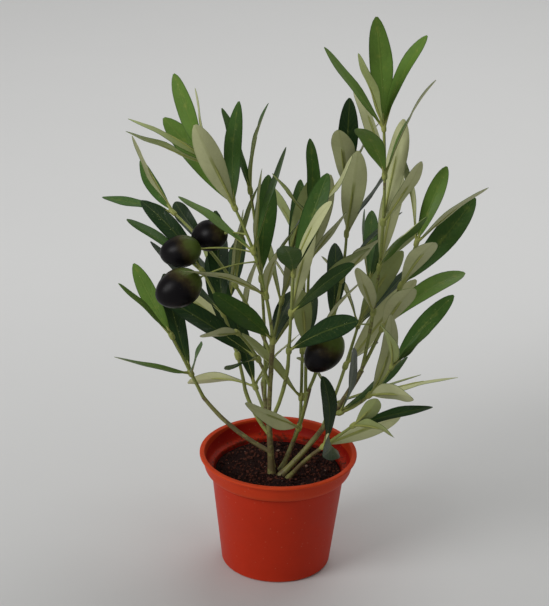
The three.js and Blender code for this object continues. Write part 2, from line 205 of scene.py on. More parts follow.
SOIL_LEVEL = 56.5
SOIL_RADIUS = 35.9
POT_TOP = 68.8
LIP_RADIUS = 45.0
ROOT_FLARE = 0.8  # how far a stem's foot is wider than the stem
ROOT_FLARE_HEIGHT = 4.0
ROOT_SINK = 3.0  # how far below the filling's top a foot starts
FORK_SINK = 0.4  # how far inside its bearer any other stem starts
STALK_RADIUS = 0.6  # of an olive's stalk
OLIVE_ROOT = 0.04  # part of the olive's length that is sunk on its stalk
LEAF_WIDTH = 0.21  # of its length
LEAF_WIDEST = 1.3  # above 1 moves a leaf's widest place towards its tip
LEAF_FULLNESS = 0.7  # below 1 makes its outline fuller than a sine's
LEAF_DEPTH = 1.1
PETIOLE = 0.06  # part of a leaf's length that is stalk
PETIOLE_WIDTH = 0.06  # of the leaf's width
LEAF_CLEARANCE = 2.7  # between sample points of leaves and of other stems
SAMPLES_ALONG = 18
SAMPLES_SKIPPED = 2  # rows of them at the leaf's root, which may stand close to a stem
SAMPLES_ACROSS = 7
SAMPLED_TIP = 0.97  # a leaf is taken to stay as wide as here up to its tip
SAMPLE_STEP = 2.0  # between sample points on a stem
SAMPLED_SIDES = 12  # round an olive
SAMPLED_ROWS = 8  # along an olive

# How every spray's leaves stand, in millimetres, in degrees and in parts.
SPRAY_GIRTH = [1.05, 0.75]  # radius of its stem at the foot and at the tip
WHORL_SPACING = 27
LEAVES_A_WHORL = 3
TIP_LEAVES = 4  # in the last whorl
LEAF_LENGTH = 56
SPREAD = 46  # of a leaf from its stem
WHORL_TURN = 90  # from each whorl to the next
TURN_SCATTER = 25
SPREAD_SCATTER = 12
TIP_CLOSING = 0.45  # how much less the last whorl spreads
CURL = 14  # how far a leaf bends along its length
CURL_SCATTER = 22
CURL_BEFORE = 0.35  # part of the curl that turns the leaf's root back towards the stem
ROLL_SCATTER = 35
LENGTH_SCATTER = 0.16
WIDTH_SCATTER = 0.1
TIP_LEAF = 0.92  # length of the last whorl's leaves, of the others'
DRAWS_A_LEAF = 7

# Each spray's tone, from -1 for dark to 1 for young, and the share of its leaves that are turned over.
TONES = {
    "spray_left_low": (0.3, 0.1),
    "spray_left_inner": (-0.2, 0.1),
    "spray_left_top": (0.8, 0.2),
    "spray_left_side": (0.4, 0.2),
    "spray_left_mid": (-0.5, 0.1),
    "spray_centre_thin": (0.3, 0.3),
    "spray_back_left_top": (-0.5, 0.0),
    "spray_centre_front": (-0.5, 0.4),
    "spray_centre_right": (-0.3, 0.2),
    "spray_back_top": (-0.4, 0.1),
    "spray_right_tall": (0.7, 0.3),
    "spray_right_outer": (0.5, 0.1),
    "spray_right_low": (0.3, 0.4),
    "spray_right_bottom": (-0.3, 0.2),
    "spray_centre_low": (-0.5, 0.1),
    "spray_back_right": (-0.2, 0.2),
    "spray_back_mid": (-0.4, 0.1),
    "spray_back_left_low": (-0.3, 0.1),
}
TONE_SCATTER = 0.55  # of a leaf's tone about its spray's
TONE_SEEDS = 40  # how far the tones' seeds lie from the shapes'
DARK_BELOW = 0.1  # a leaf is dark where its shade, the tone with its scatter, is below this
MIDDLE_BELOW = 0.62  # middle green below this, and young above it
TIP_TONE = 0.35  # how much younger the last whorl is
GREEN_BACKS = 0.3  # a leaf's back is green where its number from -1 to 1 is above this

# What the meshes have that the plan leaves out. The pot's own measures come first, in metres.
LIP_DROP = 0.0015  # height of the lip, and of the turn at the band's foot
FOOT_RING = 0.0042  # width of the ring that the pot stands on, with its inner slope
FOOT_RECESS = 0.0009  # how far the underside lies above that ring
POT_FLOOR = 0.0020  # height of the floor inside
BAND_STEP = 0.0023  # how far the ledge under the band stands out
BAND_LEAN = 0.0009  # how much narrower the band is where it turns upright
BAND_TUCK = 0.0009  # how much narrower again it is just above the ledge
BAND_TURN = 0.0045  # height above the band's foot at which it turns upright
LEDGE_ROUND = 0.0026  # how much narrower the band's inside is at the ledge inside
LEDGE_RISE = 0.0004  # how far that ledge's outer edge stands above its inner one
POT_SWAY = 0.004  # how far the thin wall is out of round at the lip, of its radius
POT_SWAY_TURN = 0.6  # which way it is widest
BED_DEPTH = 0.018  # of the filling, in metres, as the next two
BED_TAPER = 0.0022  # how much narrower the filling is at its foot
BED_EDGE = 0.003  # width of the smoother rim of its top
BED_ROUGHNESS = ((1.0, 190), (0.55, 520), (0.3, 1100))  # share and scale of each layer
EDGE_RELIEF = 0.35  # relief at the filling's edge, of its relief elsewhere
HEAP_HEIGHT = 0.0006  # how far its top rises at the stems, in metres, as the next two
HEAP_RADIUS = 0.012
CRUMB_MARGIN = 0.0008  # how far inside the filling's edge the crumbs end
CRUMB_RISE = 0.12  # how far a crumb's middle stands above the filling, of its size
CRUMB_HEIGHT = 0.6  # of its length
CRUMB_SMALLEST = 0.30  # of the largest crumb's size
CRUMB_RARITY = 2.6  # the larger, the fewer crumbs are large
FLECK_SHARE = 0.982  # a crumb is a pale fleck where its number is above this
RED_SHARE = -0.1  # and a reddish crumb where another is above this
POT_STEPS = 128
BED_RINGS = 34
BED_STEPS = 110
STEM_SIDES = 14
SHOOT_SIDES = 10
RING_STEP = 1.3  # between the rings of a stem
SHOOT_RIDGE = 0.7  # depth of a shoot's ridges, of a bough's
OLD_PATCHES = 0.35  # share of the old bark that its second colour covers
YOUNG_PATCHES = 0.14
SLEEVE_PATCHES = 0.3
RIB_PATCHES = 0.2
STALK_PATCHES = 0.4
BLADE_ROWS = 16
BLADE_COLUMNS = 8
BLADE_FOOT = 0.11  # narrowest part of a leaf, of its half width
BLADE_FULLNESS = 0.78  # below 1 makes a blade's ends fuller than the plan's outline
BLADE_CROWDING = 0.055  # how far a blade's rows crowd towards its root and its tip
FOLD_CURVE = 1.4  # above 1 leaves the blade flatter at its midrib than at its margins
FOLD_AT_ENDS = 0.35  # fold at the root and the tip, of the fold at the middle
GROOVE_DEPTH = 0.16  # of the groove over the midrib, in millimetres
GROOVE_WIDTH = 0.10  # of the blade's half width
FLICK_START = 0.55  # part of the length at which the tip starts to bend away
FLICK_REACH = 0.2  # about the square of the rest of the length
MARGIN_WAVES = 11  # along each margin, in radians
MARGIN_LAG = 1.3  # between the waves of the two margins, in radians
SLEEVE_LENGTH = 6.0
SLEEVE_WALL = 0.62
SLEEVE_RINGS = 8
SLEEVE_SIDES = 12
RIB_END = 0.60  # part of the leaf's length at which its rib ends
RIB_RINGS = 9
RIB_SIDES = 7
RIB_END_SCATTER = 0.08
RIB_SINK = 0.55  # how deep the rib lies in the blade, in millimetres
RIPENESS = (0.0, 0.03, 0.30, -0.04)  # how much further the dark end of each olive reaches
OLIVE_RINGS = 30
OLIVE_SIDES = 12
OLIVE_PLUMPNESS = 0.05  # how much plumper an olive is at its stalk and at its middle
OLIVE_UNEVENNESS = 0.012  # how far it is out of round
STALK_RINGS = 26
STALK_SIDES = 10
STALK_CUP = 0.7  # how far the stalk runs on into the olive, in millimetres
FLOOR_SIZE = 8.0  # in metres


def chance(seed, draw):
    """A repeatable number from -1 to 1."""
    value = math.sin(seed * 12.9898 + draw * 78.233) * 43758.5453
    return (value - math.floor(value)) * 2 - 1


def leaf_chance(seed, number, channel):
    """A repeatable number from -1 to 1 for one leaf of a spray."""
    return chance(seed, number * DRAWS_A_LEAF + channel)


class Arc:
    """A circular arc that turns from the axis "along" towards the axis "across"."""

    def __init__(self, origin, along, across, start, end, length):
        self.origin = origin
        self.along = along
        self.across = across
        self.start = start
        self.end = end if abs(end - start) > 1e-4 else start + 1e-4
        self.length = length
        self.side = along.cross(across)

    def angle(self, t):
        return self.start + (self.end - self.start) * t

    def at(self, t):
        bend = self.length / (self.end - self.start)
        angle = self.angle(t)
        ahead = bend * (math.sin(angle) - math.sin(self.start))
        aside = bend * (math.cos(self.start) - math.cos(angle))
        return self.origin + self.along * ahead + self.across * aside

    def direction(self, t):
        angle = self.angle(t)
        return self.along * math.cos(angle) + self.across * math.sin(angle)

    def outward(self, t):
        angle = self.angle(t)
        return self.across * math.cos(angle) - self.along * math.sin(angle)


def stem_arc(origin, heading, lean, length):
    """An arc in the upright plane of its heading."""
    turn = math.radians(heading)
    level = Vector((math.cos(turn), math.sin(turn), 0.0))
    return Arc(origin, UP, level, math.radians(lean[0]), math.radians(lean[1]), length)


def grow_stems():
    """Every bough's and spray's arc, by name."""
    arcs = {}
    for stem in BOUGHS + SPRAYS:
        if "foot" in stem:
            origin = Vector((*stem["foot"], SOIL_LEVEL))
        else:
            origin = arcs[stem["from"]].at(stem["at"])
        arcs[stem["name"]] = stem_arc(origin, stem["heading"], stem["lean"], stem["length"])
    return arcs


def seed_of(spray):
    """A spray's place in the list, from 1."""
    return SPRAYS.index(spray) + 1


def whorls_of(spray):
    """Where a spray's whorls stand, as parts of its length: from its tip down to the bare part."""
    leafy = spray["length"] * (1 - spray["bare"])
    count = 1 + math.floor(leafy / WHORL_SPACING)
    return [1 - (count - 1 - i) * WHORL_SPACING / spray["length"] for i in range(count)]


def leaf_outline(t):
    """Half of a leaf's width at a part of its length, as a part of its full half width."""
    blade = max(0.0, min(1.0, (t - PETIOLE) / (1 - PETIOLE)))
    return max(PETIOLE_WIDTH, math.sin(math.pi * blade**LEAF_WIDEST) ** LEAF_FULLNESS)


def leaves_of(spray, arc):
    """A spray's leaves, each with its midrib's arc, width, roll and whorl."""
    leaves = []
    seed = seed_of(spray)
    tone, pale_share = TONES[spray["name"]]
    places = whorls_of(spray)
    for whorl, place in enumerate(places):
        last = whorl == len(places) - 1
        count = TIP_LEAVES if last else LEAVES_A_WHORL
        for i in range(count):
            draw = partial(leaf_chance, seed, len(leaves))
            turn = spray["turn"] + whorl * WHORL_TURN + i * 360 / count + TURN_SCATTER * draw(0)
            turn = math.radians(turn)
            spread = SPREAD * (1 - TIP_CLOSING * place) + SPREAD_SCATTER * draw(1)
            curl = math.radians(CURL + CURL_SCATTER * draw(2))
            start = math.radians(spread) - CURL_BEFORE * curl
            length = LEAF_LENGTH * (1 + LENGTH_SCATTER * draw(3)) * (TIP_LEAF if last else 1)
            away = arc.outward(place) * math.cos(turn) + arc.side * math.sin(turn)
            midrib = Arc(arc.at(place), arc.direction(place), away, start, start + curl, length)
            dye = partial(leaf_chance, seed + TONE_SEEDS, len(leaves))
            shade = tone + TONE_SCATTER * dye(0) + (TIP_TONE if last else 0.0)
            leaves.append({
                "turned": dye(1) < 2 * pale_share - 1, "shade": shade,
                "green_back": dye(2) > GREEN_BACKS,
                "midrib": midrib, "roll": math.radians(ROLL_SCATTER * draw(4)),
                "width": length * LEAF_WIDTH * (1 + WIDTH_SCATTER * draw(5)),
                "place": place, "last": last, "draw": draw,
            })
    return leaves


def leaf_frame(leaf, t, twist=0.0):
    """The directions across a leaf and out of its upper face."""
    along = leaf["midrib"].direction(t)
    up = -leaf["midrib"].outward(t)
    roll = leaf["roll"] + twist
    across = along.cross(up) * math.cos(roll) + up * math.sin(roll)
    if leaf["turned"]:
        across = -across
    return across, across.cross(along)


def leaf_samples(leaf):
    """Points spread over a leaf, by which it is kept clear. Its root isn't tested."""
    points = []
    for i in range(SAMPLES_SKIPPED, SAMPLES_ALONG + 1):
        t = i / SAMPLES_ALONG
        across, _ = leaf_frame(leaf, t)
        half = leaf_outline(min(t, SAMPLED_TIP)) * leaf["width"] / 2
        for j in range(SAMPLES_ACROSS):
            points.append(leaf["midrib"].at(t) + across * (2 * j / (SAMPLES_ACROSS - 1) - 1) * half)
    return points


def samples_along(arc):
    count = max(2, math.ceil(arc.length / SAMPLE_STEP))
    return [arc.at(i / count) for i in range(count + 1)]


class Clearance:
    """What stands already, as sample points with their owner's number."""

    def __init__(self):
        self.owners = np.zeros(0, int)
        self.points = np.zeros((0, 3))

    def claim(self, owner, points):
        self.owners = np.concatenate([self.owners, np.full(len(points), owner)])
        self.points = np.concatenate([self.points, np.array([tuple(p) for p in points])])

    def is_clear(self, owner, points):
        mine = np.array([tuple(p) for p in points])
        over_pot = np.hypot(mine[:, 0], mine[:, 1]) < LIP_RADIUS + LEAF_CLEARANCE
        if np.any(over_pot & (mine[:, 2] < POT_TOP + LEAF_DEPTH)):
            return False
        others = self.points[self.owners != owner]
        low, high = mine.min(0) - LEAF_CLEARANCE, mine.max(0) + LEAF_CLEARANCE
        near = np.all((others > low) & (others < high), axis=1)
        if not near.any():
            return True
        apart = np.linalg.norm(mine[:, None] - others[near][None], axis=2)
        return bool(np.all(apart > LEAF_CLEARANCE))


def stalk_arc(olive, arcs):
    """An olive's stalk, an arc from its spray's stem."""
    return stem_arc(arcs[olive["spray"]].at(olive["at"]), olive["heading"], olive["lean"], olive["stalk"])


def olive_point(olive, stalk, x, t, z):
    """A point of the olive, whose round skin has the radius 0.5 in x and z."""
    ahead = stalk.direction(1) * (t - OLIVE_ROOT) * olive["size"][0]
    return stalk.at(1) + ahead + (stalk.side * x + stalk.outward(1) * z) * olive["size"][1]


def olive_samples(olive, stalk):
    points = samples_along(stalk)
    for ring in range(SAMPLED_ROWS + 1):
        polar = math.pi * ring / SAMPLED_ROWS
        for step in range(SAMPLED_SIDES):
            turn = math.tau * step / SAMPLED_SIDES
            radius = 0.5 * math.sin(polar)
            x, z = radius * math.cos(turn), radius * math.sin(turn)
            points.append(olive_point(olive, stalk, x, 0.5 - 0.5 * math.cos(polar), z))
    return points


def plan_plant():
    """The stems' arcs, and each spray's leaves that keep clear of all other nodes."""
    arcs = grow_stems()
    taken = Clearance()
    number = {name: i for i, name in enumerate(arcs)}
    for name, arc in arcs.items():
        taken.claim(number[name], samples_along(arc))
    for olive in OLIVES:
        taken.claim(number[olive["spray"]], olive_samples(olive, stalk_arc(olive, arcs)))
    kept = {}
    for spray in SPRAYS:
        name = spray["name"]
        kept[name] = []
        for leaf in leaves_of(spray, arcs[name]):
            samples = leaf_samples(leaf)
            if taken.is_clear(number[name], samples):
                kept[name].append(leaf)
                taken.claim(number[name], samples)
    return arcs, kept


ARCS, LEAVES = plan_plant()


def girth_at(stem, t):
    """A stem's radius, with the flare of a rooted foot."""
    foot, tip = stem.get("girth", SPRAY_GIRTH)
    radius = foot + (tip - foot) * t
    if "foot" in stem:
        radius += ROOT_FLARE * math.exp(-max(0.0, t * stem["length"]) / ROOT_FLARE_HEIGHT)
    return radius


# ---------------------------------------------------------------- mesh tools


def finish_piece(name, bm, materials, nodes):
    """Makes the bmesh an object at the origin, which rides with the part and stands for its nodes."""
    mesh = bpy.data.meshes.new(name)
    bm.to_mesh(mesh)
    bm.free()
    for material in materials:
        mesh.materials.append(material)
    piece = bpy.data.objects.new(name, mesh)
    bpy.context.scene.collection.objects.link(piece)
    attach(piece, "root")
    if nodes:
        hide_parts(*nodes)
    return piece


def new_bmesh():
    bm = bmesh.new()
    bm.loops.layers.uv.new("UVMap")
    return bm


def shape_sheet(bm, along, across, thickness):
    """A flat plate from -0.5 to 0.5, whose map has U across it and V along it."""
    grid = bmesh.ops.create_grid(bm, x_segments=along, y_segments=across, size=0.5)
    faces = {face for vert in grid["verts"] for face in vert.link_faces}
    made = bmesh.ops.solidify(bm, geom=list(faces), thickness=thickness)["geom"]
    verts = grid["verts"] + [item for item in made if isinstance(item, bmesh.types.BMVert)]
    faces = {face for vert in verts for face in vert.link_faces}
    uv = bm.loops.layers.uv.active
    for face in faces:
        face.smooth = True
        for loop in face.loops:
            loop[uv].uv = (loop.vert.co.y + 0.5, loop.vert.co.x + 0.5)
    return faces


def map_round(bm, faces):
    """Maps faces about the Z axis: U goes round it, and V is the height from -0.5."""
    uv = bm.loops.layers.uv.active
    for face in faces:
        middle = face.calc_center_median()
        facing = math.atan2(middle.y, middle.x)
        for loop in face.loops:
            point = loop.vert.co
            turn = math.atan2(point.y, point.x) if point.xy.length > 1e-6 else facing
            turn += math.tau * round((facing - turn) / math.tau)
            loop[uv].uv = (turn / math.tau, point.z + 0.5)


def bend_tube(bm, place, rings, sides, material=0):
    """A closed round bar whose corners are moved to place(part of its length, turn)."""
    cone = bmesh.ops.create_cone(
        bm, cap_ends=True, segments=sides, radius1=0.5, radius2=0.5, depth=1.0,
    )
    lengthwise = {
        edge for vert in cone["verts"] for edge in vert.link_edges
        if abs(edge.verts[0].co.z - edge.verts[1].co.z) > 0.5
    }
    cut = bmesh.ops.subdivide_edges(bm, edges=list(lengthwise), cuts=rings - 1)
    inner = [item for item in cut["geom_inner"] if isinstance(item, bmesh.types.BMVert)]
    verts = {corner for vert in inner for face in vert.link_faces for corner in face.verts}
    faces = {face for vert in verts for face in vert.link_faces}
    map_round(bm, faces)
    for face in faces:
        face.material_index = material
        face.smooth = len(face.verts) == 4
        if not face.smooth:
            for edge in face.edges:
                edge.smooth = False
    for vert in verts:
        vert.co = place(vert.co.z + 0.5, math.atan2(vert.co.y, vert.co.x))


def round_bar(bm, arc, radius, rings, sides, start=0.0, end=1.0, material=0):
    """A bar along a planned arc, in metres, with the radius given in millimetres."""

    def place(part, turn):
        t = start + (end - start) * part
        reach = radius(t, turn)
        around = arc.side * math.cos(turn) + arc.outward(t) * math.sin(turn)
        return (arc.at(t) + around * reach) * MM

    bend_tube(bm, place, rings, sides, material)


def spun(bm, profile, steps):
    """A solid of revolution from the profile's points (radius, height), closed at its poles."""
    verts = [bm.verts.new((radius, 0.0, height)) for radius, height in profile]
    edges = [bm.edges.new(pair) for pair in zip(verts, verts[1:])]
    bmesh.ops.spin(
        bm, geom=verts + edges, axis=UP, cent=(0.0, 0.0, 0.0),
        angle=math.tau, steps=steps, use_merge=True,
    )
    bmesh.ops.remove_doubles(bm, verts=bm.verts, dist=1e-7)
    bmesh.ops.recalc_face_normals(bm, faces=bm.faces)
    for face in bm.faces:
        face.smooth = True


def round_ring(bm, radius, height, size, segments):
    """Rounds off the ring edge that runs at a radius and height."""
    near = 1e-5
    ring = [
        edge for edge in bm.edges
        if all(abs(v.co.z - height) < near and abs(v.co.xy.length - radius) < near for v in edge.verts)
    ]
    bmesh.ops.bevel(
        bm, geom=ring, offset=size, segments=segments, profile=0.5, material=-1, affect="EDGES",
    )


# ---------------------------------------------------------------- shader tools


def add_node(tree, kind, inputs=None, **settings):
    """A node with its inputs linked, where the value is a socket, or set."""
    node = tree.nodes.new(kind)
    for label, value in settings.items():
        setattr(node, label, value)
    for label, value in (inputs or {}).items():
        if isinstance(value, bpy.types.NodeSocket):
            tree.links.new(value, node.inputs[label])
        else:
            node.inputs[label].default_value = value
    return node


def maths(operation, first, second=0.0, clamp=False):
    """A sum or a comparison, in the tree of the value that is a socket."""
    owner = first if isinstance(first, bpy.types.NodeSocket) else second
    settings = {"operation": operation, "use_clamp": clamp}
    return add_node(owner.id_data, "ShaderNodeMath", {0: first, 1: second}, **settings).outputs[0]


plus = partial(maths, "ADD")
minus = partial(maths, "SUBTRACT")
times = partial(maths, "MULTIPLY")


def blend(tree, factor, first, second, kind="MIX"):
    """Mixes two colours."""
    node = add_node(
        tree, "ShaderNodeMix", {0: factor, 6: first, 7: second}, data_type="RGBA", blend_type=kind,
    )
    return node.outputs[2]


def between(value, low, high, start=0.0, end=1.0):
    """Eases a socket's value from start to end while it goes from low to high."""
    node = add_node(
        value.id_data, "ShaderNodeMapRange",
        {"Value": value, "From Min": low, "From Max": high, "To Min": start, "To Max": end},
        interpolation_type="SMOOTHSTEP",
    )
    return node.outputs[0]


def clouds(tree, place, scale, detail=3.0, roughness=0.5):
    node = add_node(
        tree, "ShaderNodeTexNoise",
        {"Vector": place, "Scale": scale, "Detail": detail, "Roughness": roughness},
    )
    return node.outputs["Fac"]


def own_place(tree):
    return add_node(tree, "ShaderNodeTexCoord").outputs["Object"]


def shader_group(name, inputs, outputs, build):
    """A node group made once, with its sockets given as (label, kind, default)."""
    if name in bpy.data.node_groups:
        return bpy.data.node_groups[name]
    group = bpy.data.node_groups.new(name, "ShaderNodeTree")
    for label, kind, default in inputs:
        socket = group.interface.new_socket(label, in_out="INPUT", socket_type=kind)
        socket.default_value = default
    for label, kind in outputs:
        group.interface.new_socket(label, in_out="OUTPUT", socket_type=kind)
    given = group.nodes.new("NodeGroupInput").outputs
    results = group.nodes.new("NodeGroupOutput").inputs
    for label, socket in build(group, given).items():
        group.links.new(socket, results[label])
    return group


def use_group(tree, group, **values):
    inputs = {label.replace("_", " "): value for label, value in values.items()}
    return add_node(tree, "ShaderNodeGroup", inputs, node_tree=group).outputs


NUMBER = "NodeSocketFloat"


def mottle_group():
    """Uneven colour: a shade to multiply a colour with, and the patches themselves."""

    def build(tree, given):
        place = own_place(tree)
        broad = clouds(tree, place, given["Scale"], 4.0, 0.55)
        fine = clouds(tree, place, times(given["Scale"], 6.3), 2.0)
        both = plus(times(broad, 0.7), times(fine, 0.3))
        shade = plus(times(times(minus(both, 0.5), 2.0), given["Amount"]), 1.0)
        return {"Shade": shade, "Patches": both}

    return shader_group(
        "Mottle", [("Scale", NUMBER, 60.0), ("Amount", NUMBER, 0.2)],
        [("Shade", NUMBER), ("Patches", NUMBER)], build,
    )


def specks_group():
    """Separate small specks of dust, one in some of the cells of a net."""

    def build(tree, given):
        cells = add_node(
            tree, "ShaderNodeTexVoronoi", {"Vector": own_place(tree), "Scale": given["Scale"]},
        )
        small = between(cells.outputs["Distance"], 0.14, 0.30, 1.0, 0.0)
        chosen = maths("LESS_THAN", cells.outputs["Color"], given["Share"])
        return {"Mask": times(small, chosen)}

    return shader_group(
        "Dust Specks", [("Scale", NUMBER, 900.0), ("Share", NUMBER, 0.2)], [("Mask", NUMBER)], build,
    )


def grain_group():
    """The fine unevenness of moulded plastic, as a height."""

    def build(tree, given):
        place = own_place(tree)
        waves = clouds(tree, place, given["Scale"], 2.0)
        pits = clouds(tree, place, times(given["Scale"], 5.7), 1.0)
        height = plus(times(waves, 0.75), times(pits, 0.25))
        return {"Height": height}

    return shader_group("Moulded Grain", [("Scale", NUMBER, 300.0)], [("Height", NUMBER)], build)


def leaf_veins_group():
    """Masks that follow a leaf's own map: U runs across it and V from its root to its tip."""

    def build(tree, given):
        uv = add_node(tree, "ShaderNodeUVMap", uv_map="UVMap").outputs[0]
        split = add_node(tree, "ShaderNodeSeparateXYZ", {0: uv}).outputs
        across = maths("ABSOLUTE", minus(times(split[0], 2.0), 1.0))
        wobble = times(clouds(tree, own_place(tree), 260.0, 2.0), 1.6)
        slope = times(across, -2.2)
        phase = plus(times(split[1], given["Count"]), slope)
        wave = maths("SINE", times(plus(phase, wobble), math.tau))
        lines = between(wave, 0.55, 1.0)
        inside = between(across, 0.72, 0.95, 1.0, 0.0)
        return {
            "Midrib": between(across, given["Midrib Width"], times(given["Midrib Width"], 2.4), 1.0, 0.0),
            "Veins": times(lines, inside),
            "Margin": between(across, 0.86, 1.0),
            "Root": between(split[1], 0.04, 0.34, 1.0, 0.0),
            "Middle": between(across, 0.0, 0.75, 1.0, 0.0),
            "Rib End": between(split[1], RIB_END - 0.04, RIB_END + 0.03, 1.0, 0.0),
        }

    return shader_group(
        "Leaf Veins", [("Count", NUMBER, 15.0), ("Midrib Width", NUMBER, 0.06)],
        [(label, NUMBER) for label in ("Midrib", "Veins", "Margin", "Root", "Middle", "Rib End")],
        build,
    )


def start_material(name):
    """A new material with its tree and its shader."""
    material = bpy.data.materials.new(name)
    material.use_nodes = True
    tree = material.node_tree
    return material, tree, tree.nodes["Principled BSDF"]


def set_shader(tree, shader, inputs):
    for label, value in inputs.items():
        if isinstance(value, bpy.types.NodeSocket):
            tree.links.new(value, shader.inputs[label])
        else:
            shader.inputs[label].default_value = value


def relief(tree, height, strength, distance):
    inputs = {"Height": height, "Strength": strength, "Distance": distance}
    return add_node(tree, "ShaderNodeBump", inputs).outputs[0]


def rgba(colour):
    return (*colour[:3], 1.0)


# ---------------------------------------------------------------- materials


def inside_of_pot(tree, settings):
    """A mask of the pot's inside above the filling."""
    split = add_node(tree, "ShaderNodeSeparateXYZ", {0: own_place(tree)}).outputs
    reach = maths("SQRT", plus(maths("POWER", split[0], 2.0), maths("POWER", split[1], 2.0)))
    ledge = settings.band_foot + settings.wall
    rise = times(minus(split[2], ledge), 0.12)
    band_inside = plus(rise, settings.band_radius - settings.wall - 0.0014)
    in_band = times(
        maths("LESS_THAN", reach, band_inside), maths("GREATER_THAN", split[2], ledge - 0.0005),
    )
    in_wall = times(
        maths("LESS_THAN", reach, settings.shoulder_radius - settings.wall / 2),
        maths("GREATER_THAN", split[2], settings.band_foot - 0.0025),
    )
    return maths("MAXIMUM", in_band, in_wall)


def clinging_peat(tree, height, settings):
    """Patches of peat that thin out above the ledge."""
    fade = between(height, settings.band_foot + 0.0010, settings.band_foot + 0.0060, 0.10, -0.16)
    broken = plus(clouds(tree, own_place(tree), 260.0, 5.0, 0.8), fade)
    return between(broken, 0.54, 0.70, 0.0, 0.85)


def pot_plastic(settings):
    """Thin orange-red plastic: satin, a little chalky on its rims, dusty inside above the filling. The
    rims' paler colour is partly a painted highlight, the band's lighter colour is painted light, and the
    crease under the band and the deeper inside are painted shade.
    """
    material, tree, shader = start_material("pot_plastic")
    mottle = use_group(tree, mottle_group(), Scale=34.0, Amount=0.16)
    height = add_node(tree, "ShaderNodeSeparateXYZ", {0: own_place(tree)}).outputs[2]
    # The lip, the ledge under the band and the foot are paler: partly real wear, partly a painted
    # highlight on the thin edges.
    lip = between(height, POT_HIGH.z - 0.0022, POT_HIGH.z - 0.0004)
    step = times(
        between(height, settings.band_foot - 0.0012, settings.band_foot + 0.0004),
        between(height, settings.band_foot + 0.0012, settings.band_foot + 0.0042, 1.0, 0.0),
    )
    foot = between(height, 0.0, 0.0028, 1.0, 0.0)
    rims = maths("MAXIMUM", maths("MAXIMUM", lip, times(step, 0.55)), foot)
    wear_and_highlight = times(rims, between(mottle["Patches"], 0.36, 0.60, 0.35, 1.0))
    inside = inside_of_pot(tree, settings)
    # Painted shade: the inside gets a deeper, darker red than the outside of the same plastic, standing
    # in for its shade and the red light it reflects on itself.
    plastic = blend(tree, inside, rgba(settings.colour), rgba(settings.inside_shade_colour))
    base = blend(tree, 1.0, plastic, mottle["Shade"], "MULTIPLY")
    pale = blend(tree, times(wear_and_highlight, 0.55), base, rgba(settings.rim_wear_and_light_colour))
    # Painted light: the outer band is lightened all round, standing in for light that shines through and
    # off the thin band.
    band = between(height, settings.band_foot - 0.0004, settings.band_foot + 0.0010)
    band_light = times(band, minus(0.30, times(inside, 0.30)))
    lighter = blend(tree, band_light, pale, rgba(settings.rim_wear_and_light_colour))
    # Painted shade: the wall just under the band's ledge is darkened, standing in for the shadow that the
    # ledge casts.
    crease = times(
        between(height, settings.band_foot - 0.0022, settings.band_foot - 0.0002),
        maths("LESS_THAN", height, settings.band_foot + 0.0001),
    )
    shadowed = blend(tree, 1.0, lighter, (0.45, 0.40, 0.40, 1.0), "MULTIPLY")
    crease_shaded = blend(tree, times(crease, 0.75), lighter, shadowed)
    specks = use_group(tree, specks_group(), Scale=620.0, Share=0.20)["Mask"]
    dusty = blend(tree, times(specks, 0.16), crease_shaded, rgba(settings.dust_colour))
    peat = times(inside, clinging_peat(tree, height, settings))
    soiled = blend(tree, peat, dusty, rgba(settings.soil_colour))
    grain = use_group(tree, grain_group(), Scale=420.0)["Height"]
    set_shader(tree, shader, {
        "Base Color": soiled,
        "Roughness": between(mottle["Patches"], 0.3, 0.7, 0.44, 0.56),
        "Specular IOR Level": 0.12,
        "Normal": relief(tree, grain, 0.18, 0.0003),
    })
    return material


def filling_earth(settings):
    """The dark glued peat that the stems stand in."""
    material, tree, shader = start_material("filling_earth")
    mottle = use_group(tree, mottle_group(), Scale=190.0, Amount=0.55)
    base = blend(tree, 1.0, rgba(settings.colour), mottle["Shade"], "MULTIPLY")
    specks = use_group(tree, specks_group(), Scale=820.0, Share=0.16)["Mask"]
    grain = use_group(tree, grain_group(), Scale=700.0)["Height"]
    set_shader(tree, shader, {
        "Base Color": blend(tree, times(specks, 0.35), base, rgba(settings.fleck_colour)),
        "Roughness": 0.88,
        "Specular IOR Level": 0.1,
        "Normal": relief(tree, grain, 0.8, 0.0008),
    })
    return material


def crumb_earth(name, colour, roughness=0.85):
    material, tree, shader = start_material(name)
    mottle = use_group(tree, mottle_group(), Scale=420.0, Amount=0.45)
    set_shader(tree, shader, {
        "Base Color": blend(tree, 1.0, rgba(colour), mottle["Shade"], "MULTIPLY"),
        "Roughness": roughness,
        "Specular IOR Level": 0.15,
    })
    return material


def stem_plastic(name, colour, patch_colour, share):
    """Painted plastic bark, whose second colour shows in patches."""
    material, tree, shader = start_material(name)
    mottle = use_group(tree, mottle_group(), Scale=105.0, Amount=0.32)
    patches = between(mottle["Patches"], 0.62 - share / 2, 0.70 - share / 2)
    base = blend(tree, 1.0, rgba(colour), mottle["Shade"], "MULTIPLY")
    grain = use_group(tree, grain_group(), Scale=820.0)["Height"]
    set_shader(tree, shader, {
        "Base Color": blend(tree, times(patches, 0.8), base, rgba(patch_colour)),
        "Roughness": between(mottle["Patches"], 0.3, 0.7, 0.46, 0.62),
        "Specular IOR Level": 0.4,
        "Normal": relief(tree, grain, 0.5, 0.0004),
    })
    return material


